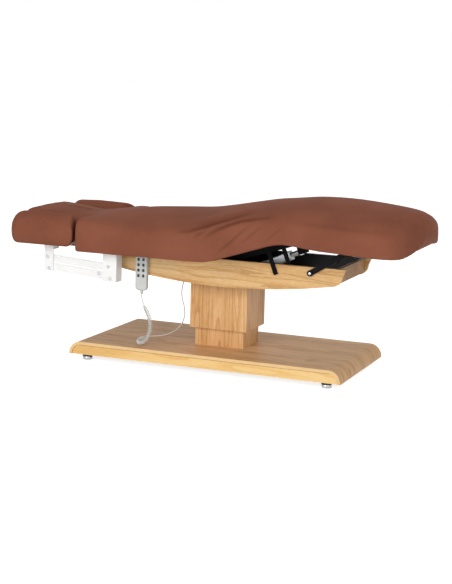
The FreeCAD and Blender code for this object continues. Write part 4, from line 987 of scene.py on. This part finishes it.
    def head(self) -> Thing:
        """Narrow head rest between the arm pads; its lower end lies inside the torso."""
        places = end_stations(self.head_end, self.shoulder_out + self.neck_overlap, self.head_ends, self.step)
        half = self.neck_half - quarter_round(places - self.head_end, self.head_corner)
        inset = quarter_round(places - self.head_end, self.head_ends[0])
        return self.sewn("mattress_head", places, half, inset, inset)

    def fold(self, thing: Thing, camera: PhotoCamera) -> None:
        """Press the photograph's folds into the side that faces the camera, and the head rest's sewn line.

        Each fold sinks by its depth times a bell curve of the distance from its path, tapers towards both
        ends, and leaves a ridge about one and a half widths above it. The sewn line ends at a tuft.
        Shade is painted into the folds, the sewn line and the tuft, and kept as the fold attribute.

        Args:
            thing: the filled mattress.
            camera: the photograph's camera.
        """
        points = read_rows(thing.data.vertices, "co")
        out = read_rows(thing.data.vertex_normals, "vector")
        seen = camera.project(points)
        toward = ((np.array(camera.place) - points) * out).sum(axis=1) > 0
        # shade holds the painted shade of the folds, the sewn line and the tuft.
        shade = np.zeros(len(points))
        sink = np.zeros(len(points))
        for crease in self.creases:
            gap, side, along = path_distance(seen, np.array(crease.path))
            taper = np.sin(math.pi * np.clip(along, 0.02, 0.98)) ** self.taper_power
            valley = bell(gap, crease.width_px) * taper
            crest = bell(gap - self.ridge_away * crease.width_px, crease.width_px) * taper * (side < 0)
            sink += (crease.depth * valley - crease.ridge * crest) * toward
            shade = np.maximum(shade, valley * toward * min(crease.depth / self.deepest, 1) * self.fold_shade)
        upper = out[:, 2] > self.upper_facing
        gap, _, along = path_distance(points[:, :2], np.array(self.seam))
        line = bell(gap, self.seam_width) * np.clip(along * self.seam_fade, 0, 1) * upper
        away = np.linalg.norm(points[:, :2] - np.array(self.seam[-1]), axis=1)
        tuft = bell(away, self.tuft_width) * upper
        for dent, depth, tone in ((line, self.seam_depth, self.seam_shade),
                                  (tuft, self.tuft_depth, self.tuft_shade)):
            sink += depth * dent
            shade = np.maximum(shade, tone * dent)
        move_corners(thing, points - out * sink[:, None] * MM)
        # The painted shade is kept as the fold attribute, which darkens the leatherette.
        layer = thing.data.attributes.new("fold", "FLOAT", "POINT")
        layer.data.foreach_set("value", shade.astype(np.float32))

    def cut(self, thing: Thing, name: str, planes: list) -> Thing:
        """A piece of the mattress between planes, closed where it was cut.

        Args:
            thing: the whole mattress.
            name: the piece's name.
            planes: (point, direction) pairs; what lies ahead of a plane is cut away.

        Returns:
            The piece.
        """
        form = bmesh.new()
        form.from_mesh(thing.data)
        for point, ahead in planes:
            every = form.verts[:] + form.edges[:] + form.faces[:]
            bmesh.ops.bisect_plane(form, geom=every, plane_co=point, plane_no=ahead, clear_outer=True)
            rim = [edge for edge in form.edges if edge.is_boundary]
            made = bmesh.ops.contextual_create(form, geom=rim)
            for sharp in made["faces"] + rim:
                sharp.smooth = False
        mesh = bpy.data.meshes.new(name)
        form.to_mesh(mesh)
        form.free()
        return placed(name, mesh)

    def build(self, camera: PhotoCamera) -> list[Thing]:
        """Make the filled mattress and its three covers.

        Args:
            camera: the photograph's camera, which places the folds.

        Returns:
            The covers of back, hips and legs.
        """
        whole = self.torso()
        head = self.head()
        form = bmesh.new()
        form.from_mesh(whole.data)
        form.from_mesh(head.data)
        form.to_mesh(whole.data)
        form.free()
        bpy.data.objects.remove(head)
        SoftShaper(voxel=6.5 * MM, cap=6.0 * MM).fill(whole)
        self.fold(whole, camera)
        seat = Vector((self.split_seat * MM, 0, 0))
        thigh = Vector((self.split_thigh * MM, 0, self.thigh_level))
        up_thigh = Vector((math.cos(self.thigh_angle), 0, math.sin(self.thigh_angle)))
        back = self.cut(whole, "mattress_back", [(seat, Vector((1, 0, 0)))])
        hips = self.cut(whole, "mattress_hips", [(seat, Vector((-1, 0, 0))), (thigh, up_thigh)])
        legs = self.cut(whole, "mattress_legs", [(thigh, -up_thigh)])
        bpy.data.objects.remove(whole)
        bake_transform(back)
        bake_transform(hips)
        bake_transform(legs)
        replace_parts(back, "back_cushion")
        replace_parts(hips, "seat_cushion", "thigh_cushion")
        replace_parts(legs, "calf_cushion")
        for piece in (back, hips, legs):
            finished(piece, LEATHER)
        return [back, hips, legs]


@dataclass
class ArmPad:
    """Leatherette pad of one armrest, with a round nose and a rear end that slopes along the shoulder."""

    name: str
    side: int
    nose: float = -906.0
    rear_out: float = -570.0
    rear_in: float = -632.0
    rear_power: float = 1.5
    inner: float = 212.5
    outer: float = 365.0
    low: float = 519.0
    high: tuple[float, float] = (648.0, 642.0)
    crown: tuple[float, float] = (12.0, 18.0)
    tilt: float = 24.0
    nose_corner: float = 54.0
    low_ends: tuple[float, float] = (50.0, 34.0)
    high_ends: tuple[float, float] = (46.0, 22.0)
    top_round: float = 30.0
    low_round: float = 20.0
    top_share: float = 0.6
    heel_share: float = 0.3
    least_flat: float = 3.0
    side_inset: float = 6.0
    bulge: float = 1.5
    hang: float = 8.0
    swell: float = 2.5
    step: float = 6.0

    def build(self) -> Thing:
        """Carry the pad's section along the arm, tilt its top to the mattress, slope its rear and fill it.

        Returns:
            The pad, riding its armrest.
        """
        places = end_stations(self.nose, self.rear_out, self.low_ends, self.step)
        share = (places - self.nose) / (self.rear_out - self.nose)
        inset = end_inset(places, self.nose, self.rear_out, self.high_ends) + self.swell
        half = (self.outer - self.inner) / 2 - quarter_round(places - self.nose, self.nose_corner)
        half = half - np.minimum(inset, self.side_inset + self.swell)
        low = self.low + end_inset(places, self.nose, self.rear_out, self.low_ends)
        high = self.high[0] + (self.high[1] - self.high[0]) * share - inset
        crown = self.crown[0] + (self.crown[1] - self.crown[0]) * share
        rounds = (self.top_round, self.top_share), (self.low_round, self.heel_share)
        top, heel = (np.minimum(np.minimum(radius, part * (high - low)), half - self.least_flat)
                     for radius, part in rounds)
        ring = section_ring(half, low, high, crown, top, heel, self.bulge, self.hang)
        across = (self.inner + self.outer) / 2 + ring[..., 0]
        inward = np.clip((self.outer - across) / (self.outer - self.inner), 0, 1)
        along = places[:, None] + (self.rear_in - self.rear_out) * inward * share[:, None] ** self.rear_power
        upper = np.clip((ring[..., 1] - low[:, None]) / (high - low)[:, None], 0, 1)
        level = ring[..., 1] + self.tilt * (inward - 0.5) * upper
        points = np.stack([along, self.side * across, level], axis=2) * MM
        pad = tube_mesh(f"{self.name}_armrest_pad", points)
        SoftShaper(voxel=4.5 * MM, cap=5.0 * MM).fill(pad)
        pad.data.attributes.new("fold", "FLOAT", "POINT")
        finished(pad, LEATHER)
        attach(pad, f"{self.name}_armrest")
        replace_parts(pad, f"{self.name}_arm_pad")
        return pad


def lathe(name: str, profile: tuple, centres: list, axis: str, count: int = 40) -> Thing:
    """Turn a profile about an axis at several places, as one object.

    Args:
        name: the object's name.
        profile: (radius, height) pairs from one end of the axis to the other, in millimetres.
        centres: coordinates of each place, in millimetres; the profile's height zero lies there.
        axis: "y" for an axis along -Y, "Y" for one along +Y, or "Z" for one that points up.
        count: points round the axis.

    Returns:
        The object.
    """
    turn = np.linspace(0, 2 * math.pi, count, endpoint=False)
    radius, height = np.array(profile)[:, :1], np.array(profile)[:, 1:]
    round_one, round_two = radius * np.cos(turn), radius * np.sin(turn)
    level = height + 0 * turn
    frames = {"Z": (round_one, round_two, level), "y": (round_one, -level, round_two),
              "Y": (round_one, level, round_two)}
    ring = np.stack(frames[axis], axis=2)
    return tube_mesh(name, *((ring + np.array(centre)) * MM for centre in centres))


@dataclass
class Fasteners:
    """Round-head screws on the white plates, plugs over the hinge shafts, calf arm nuts and floor glides."""

    screw_profile: tuple = ((7.6, 0.0), (8.0, 0.5), (7.7, 1.8), (6.6, 2.8), (4.9, 3.3), (4.2, 3.3),
                            (3.9, 2.9), (3.7, 1.2), (0.4, 1.0))
    glide_profile: tuple = ((20.0, 0.0), (21.4, 0.7), (22.0, 2.2), (22.0, 15.4), (21.4, 16.2), (0.5, 16.2))
    # Black ring on each glide's top, standing in for painted shade.
    shade_ring_profile: tuple = ((22.6, 16.0), (23.2, 16.6), (23.2, 21.0), (22.0, 22.0), (0.5, 22.0))
    nut_profile: tuple = ((7.0, 0.0), (7.2, 2.0), (6.4, 3.4), (4.4, 4.0), (0.5, 4.2))
    plug_profile: tuple = ((8.6, 0.0), (8.6, 0.4), (8.2, 0.7), (0.4, 0.8))
    bracket_pins: tuple = ((-410.0, 387.0), (-419.0, 440.0))
    upright_pins: tuple = ((-717.0, 409.0), (-726.0, 462.0))
    link_pins: tuple = ((-469.0, 404.0),)
    shaft_ends: tuple = ((-120.0, 485.0), (70.0, 485.0))
    calf_pins: tuple = ((496.0, 475.0),)
    plate_face: float = 303.0
    link_face: float = 294.5
    panel_face: float = 200.0
    screw_sink: float = 0.4
    plug_sink: float = 0.2
    nut_sink: float = 0.6
    glide_inset: float = 24.0
    glide_points: int = 48

    def on_side(self, name: str, side: int) -> list[Thing]:
        """Make the screws, plugs and nut of one side, each a little sunk into its face.

        Args:
            name: the side's name.
            side: -1 for the near side, 1 for the far one.

        Returns:
            The pieces.
        """
        low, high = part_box("calf_arm_studs")
        stud_face = abs(low.y if side < 0 else high.y) / MM
        screw = self.screw_profile, self.screw_sink, ZINC, "zinc_steel"
        plug = self.plug_profile, self.plug_sink, OAK_LENGTH, "veneer"
        nut = self.nut_profile, self.nut_sink, CHROME, "chrome"
        made = []
        for kind, pins, face, (profile, sink, finish, slot), body in (
                ("bracket_screws", self.bracket_pins, self.plate_face, screw, "backrest"),
                ("upright_screws", self.upright_pins, self.plate_face, screw, f"{name}_armrest"),
                ("link_screw", self.link_pins, self.link_face, screw, f"{name}_low_link"),
                ("shaft_plugs", self.shaft_ends, self.panel_face, plug, "tray"),
                ("calf_arm_nut", self.calf_pins, stud_face, nut, "tray")):
            centres = [(x, side * (face - sink), z) for x, z in pins]
            piece = lathe(f"{name}_{kind}", profile, centres, "y" if side < 0 else "Y")
            finished(piece, finish)
            made.append(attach(piece, body))
        return made

    def build(self) -> list[Thing]:
        """Make every screw, plug, nut and glide.

        Returns:
            The pieces.
        """
        made = [piece for name, side in SIDES for piece in self.on_side(name, side)]
        low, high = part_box("foot_glides")
        inset = self.glide_inset
        centres = [(x, y, 0.0) for x in (low.x / MM + inset, high.x / MM - inset)
                   for y in (low.y / MM + inset, high.y / MM - inset)]
        glides = lathe("floor_glides", self.glide_profile, centres, "Z", self.glide_points)
        finished(glides, CHROME)
        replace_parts(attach(glides, "base"), "foot_glides")
        # Painted shade: a black ring on top of each glide stands in for the shade there.
        shade_rings = lathe("floor_glide_shade_rings", self.shade_ring_profile, centres, "Z", self.glide_points)
        finished(shade_rings, BLACK_PLASTIC)
        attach(shade_rings, "base")
        return made + [glides, shade_rings]


@dataclass
class Handset:
    """Light grey handset with dark keys, hung on the near panel.

    Rims are (growth of the outline, depth behind the front) pairs, the dome (share of a key's size, depth).
    """

    middle_x: float = -294.0
    low: float = 331.0
    wide: float = 58.0
    tall: float = 165.0
    front: float = -227.0
    back: float = -203.0
    top_corner: float = 8.0
    low_corner: float = 18.0
    corner_points: int = 12
    rims: tuple = ((-9.0, 0.0), (-5.0, 0.2), (-2.6, 1.1), (-1.0, 2.8), (0.0, 5.5), (0.0, 8.6), (-0.7, 8.9),
                   (-0.7, 9.5), (0.0, 9.8), (0.0, 18.0), (-1.6, 21.8), (-4.5, 23.6), (-9.0, 24.0))
    key_rows: int = 4
    key_wide: float = 11.5
    key_tall: float = 14.0
    key_step_x: float = 24.0
    key_step_z: float = 24.5
    key_low: float = 68.0
    key_power: float = 3.2
    key_points: int = 40
    dome: tuple = ((1.0, 3.0), (1.0, 0.2), (0.97, -0.8), (0.86, -1.4), (0.6, -1.75), (0.25, -1.9))
    sleeve_radius: float = 8.0
    sleeve_taper: float = 2.8
    sleeve_rib: float = 0.45
    sleeve_ribs: int = 5
    sleeve_start: float = 2.0
    sleeve_length: float = 18.0
    hook_low: float = 55.0
    hook_outline: tuple = ((-15, 0), (15, 0), (15, 60), (-15, 60))
    hook_depths: tuple[float, float] = (-203.5, -200.1)

    def stacked(self, name: str, middle: tuple[float, float], layers: list) -> Thing:
        """Make a closed object from outlines that lie one behind another.

        Args:
            name: the object's name.
            middle: place of the outlines' middle along the bed and in height.
            layers: (outline, place across the bed) pairs.

        Returns:
            The object.
        """
        rings = [np.stack([middle[0] + flat[:, 0], np.full(len(flat), deep), middle[1] + flat[:, 1]], axis=1)
                 for flat, deep in layers]
        return tube_mesh(name, np.array(rings) * MM)

    def outline(self, grow: float) -> Array:
        """Outline of the case seen from the front: straight sides, small upper and larger lower corners.

        Args:
            grow: how far the outline lies outside the nominal one.

        Returns:
            One row of (across, level) per point.
        """
        half, tall = self.wide / 2 + grow, self.tall / 2 + grow
        rows = []
        for sign_x, sign_z, start in ((1, 1, 0), (-1, 1, 1), (-1, -1, 2), (1, -1, 3)):
            radius = max((self.top_corner if sign_z > 0 else self.low_corner) + grow, 1.0)
            turn = (start + np.linspace(0, 1, self.corner_points)) * math.pi / 2
            rows.append(np.stack([sign_x * (half - radius) + radius * np.cos(turn),
                                  sign_z * (tall - radius) + radius * np.sin(turn)], axis=1))
        return np.concatenate(rows)

    def case(self) -> Thing:
        """Case as its outline carried from front to back: domed front, rounded rims and a parting groove."""
        layers = [(self.outline(grow), self.front + deep) for grow, deep in self.rims]
        case = self.stacked("handset_case", (self.middle_x, self.low + self.tall / 2), layers)
        finished(case, HANDSET_GREY)
        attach(case, "tray")
        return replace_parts(case, "handset_front", "handset_back")

    def keys(self) -> list[Thing]:
        """Domed keys, each riding its own button."""
        turn = np.linspace(0, 2 * math.pi, self.key_points, endpoint=False)
        wave = np.stack([np.cos(turn), np.sin(turn)], axis=1)
        half = np.array((self.key_wide, self.key_tall)) / 2
        flat = np.sign(wave) * np.abs(wave) ** (2 / self.key_power) * half
        layers = [(share * flat, self.front + deep) for share, deep in self.dome]
        made = []
        for column, sign in (("left", -1), ("right", 1)):
            for row in range(self.key_rows):
                x = self.middle_x + sign * self.key_step_x / 2
                z = self.low + self.key_low + row * self.key_step_z
                key = self.stacked(f"handset_key_{column}_{row + 1}", (x, z), layers)
                finished(key, KEY_DARK)
                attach(key, f"button_{column}_{row + 1}")
                made.append(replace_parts(key, f"button_{column}_{row + 1}"))
        return made

    def relief(self) -> Thing:
        """Ribbed sleeve that keeps the cord from kinking where it leaves the case."""
        level = np.linspace(0, 1, 25)
        ribs = self.sleeve_rib * np.cos(level * 2 * self.sleeve_ribs * math.pi)
        radius = self.sleeve_radius - self.sleeve_taper * level + ribs
        profile = np.stack([radius, self.sleeve_start - level * self.sleeve_length], axis=1)
        centre = self.middle_x, (self.front + self.back) / 2, self.low
        made = lathe("handset_cord_sleeve", profile, [centre], "Z", 28)
        finished(made, HANDSET_GREY)
        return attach(made, "tray")

    def build(self) -> list[Thing]:
        """Make the case, its keys, the cord's sleeve and the hook behind the case.

        Returns:
            The pieces.
        """
        made = [self.case(), *self.keys(), self.relief()]
        layers = [(np.array(self.hook_outline, float), deep) for deep in self.hook_depths]
        hook = self.stacked("handset_hook", (self.middle_x, self.low + self.hook_low), layers)
        finished(hook, ZINC)
        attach(hook, "tray")
        return made + [hook]


def square_to(path: Array, aside: tuple[float, float, float]) -> tuple[Array, Array]:
    """Two directions square to a path and to each other, at each of its points.

    Args:
        path: one row of coordinates per point.
        aside: a direction that the path doesn't take.

    Returns:
        Both directions, one row per point.
    """
    ahead = np.gradient(path, axis=0)
    ahead /= np.linalg.norm(ahead, axis=1, keepdims=True)
    side = np.cross(ahead, np.array(aside))
    side /= np.linalg.norm(side, axis=1, keepdims=True)
    return side, np.cross(ahead, side)


@dataclass
class CurlyCord:
    """Handset cord: a plain drop, a curly stretch that loops over the base, and a plain lead to the tray."""

    drop: tuple = ((-294, -215, 321), (-294, -215, 306), (-292.6, -213.7, 290.2), (-287, -214.7, 276.6))
    curl: tuple = ((-285, -215, 272), (-278, -216, 257), (-266, -219, 241), (-250, -226, 218),
                   (-239, -234, 192), (-235, -243, 166), (-237, -252, 141), (-245, -260, 120),
                   (-260, -263, 105), (-281, -254, 98), (-302, -227, 96), (-316, -191, 96), (-321, -156, 97),
                   (-318, -122, 97))
    lead: tuple = ((-316, -104, 97), (-304, -88, 97), (-288, -68, 96), (-266, -54, 98), (-242, -45, 104),
                   (-218, -40, 115), (-196, -38, 130.5), (-177, -39, 151), (-163, -41, 175),
                   (-155.5, -43, 202), (-155.5, -45, 229), (-161, -47, 255), (-167, -49, 279),
                   (-170, -51, 303), (-168, -53, 328), (-160, -55, 355), (-160, -55, 383))
    radius: float = 2.5
    curl_radius: float = 7.0
    curl_count: int = 40
    ramp: float = 24.0
    curl_detail: int = 24
    curl_steps: int = 20
    plain_detail: int = 8
    ring_points: int = 12
    curl_aside: tuple[float, float, float] = (0.0, 1.0, 0.0)
    sheath_aside: tuple[float, float, float] = (0.31, 0.87, 0.38)

    def spline_points(self, route: tuple, resolution: int) -> Array:
        """Points read from the smooth spline that has the route as its control points.

        Args:
            route: control points in millimetres.
            resolution: points per control point.

        Returns:
            One row of coordinates per point, in millimetres.
        """
        data = bpy.data.curves.new("cord_route", "CURVE")
        data.dimensions = "3D"
        data.resolution_u = resolution
        line = data.splines.new("NURBS")
        line.points.add(len(route) - 1)
        for point, place in zip(line.points, route):
            point.co = (*place, 1.0)
        line.order_u = 3
        line.use_endpoint_u = True
        holder = placed("cord_route", data)
        mesh = bpy.data.meshes.new_from_object(holder.evaluated_get(bpy.context.evaluated_depsgraph_get()))
        bpy.data.objects.remove(holder)
        return read_rows(mesh.vertices, "co")

    def helix(self, line: Array) -> Array:
        """Curls round a middle line, growing from nothing at both ends.

        Args:
            line: points of the middle line in millimetres.

        Returns:
            One row of coordinates per point of the curls.
        """
        run = np.concatenate([[0], np.cumsum(np.linalg.norm(np.diff(line, axis=0), axis=1))])
        length = run[-1]
        pitch = (length - self.ramp) / self.curl_count
        place = np.linspace(0, length, int(length / pitch * self.curl_steps))
        centre = np.stack([np.interp(place, run, line[:, axis]) for axis in range(3)], axis=1)
        side, up = square_to(centre, self.curl_aside)
        near = np.minimum(place, length - place)
        share = np.clip(near / self.ramp, 0, 1)
        grown = share ** 2 * (3 - 2 * share)
        eased = self.ramp * share ** 3 * (1 - share / 2)
        turns = (eased + np.maximum(near - self.ramp, 0)) / pitch
        turns = np.where(place < length / 2, turns, self.curl_count - turns)
        angle = (2 * math.pi * turns)[:, None]
        return centre + self.curl_radius * grown[:, None] * (side * np.cos(angle) + up * np.sin(angle))

    def build(self) -> Thing:
        """Sweep a round section along the whole cord.

        Returns:
            The cord, between base and tray.
        """
        curls = self.helix(self.spline_points(self.curl, self.curl_detail))
        plain = self.spline_points(self.drop + (tuple(curls[0]),), self.plain_detail)
        lead = self.spline_points((tuple(curls[-1]),) + self.lead, self.plain_detail)
        path = np.concatenate([plain[:-1], curls, lead[1:]])
        side, up = square_to(path, self.sheath_aside)
        turn = np.linspace(0, 2 * math.pi, self.ring_points, endpoint=False)
        ring = side[:, None] * np.cos(turn)[None, :, None] + up[:, None] * np.sin(turn)[None, :, None]
        cord = tube_mesh("handset_cord", (path[:, None] + self.radius * ring) * MM)
        finished(cord, CORD_WHITE)
        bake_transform(cord)
        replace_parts(cord, "cord_top", "cord_curl", "cord_lead")
        return cord


def main() -> None:
    """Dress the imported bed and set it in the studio."""
    logging.basicConfig(level=logging.INFO)
    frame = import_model()
    dress_nodes(frame["nodes"])
    camera = PhotoCamera()
    camera.build()
    Studio().build()
    pieces = [CurlyCord().build(), *Mattress().build(camera)]
    pieces += [ArmPad(name, side).build() for name, side in SIDES]
    pieces += Fasteners().build() + Handset().build()
    for piece in pieces:
        LOG.info("%s, %d points", piece.name, len(piece.data.vertices))


if __name__ == "__main__":
    main()
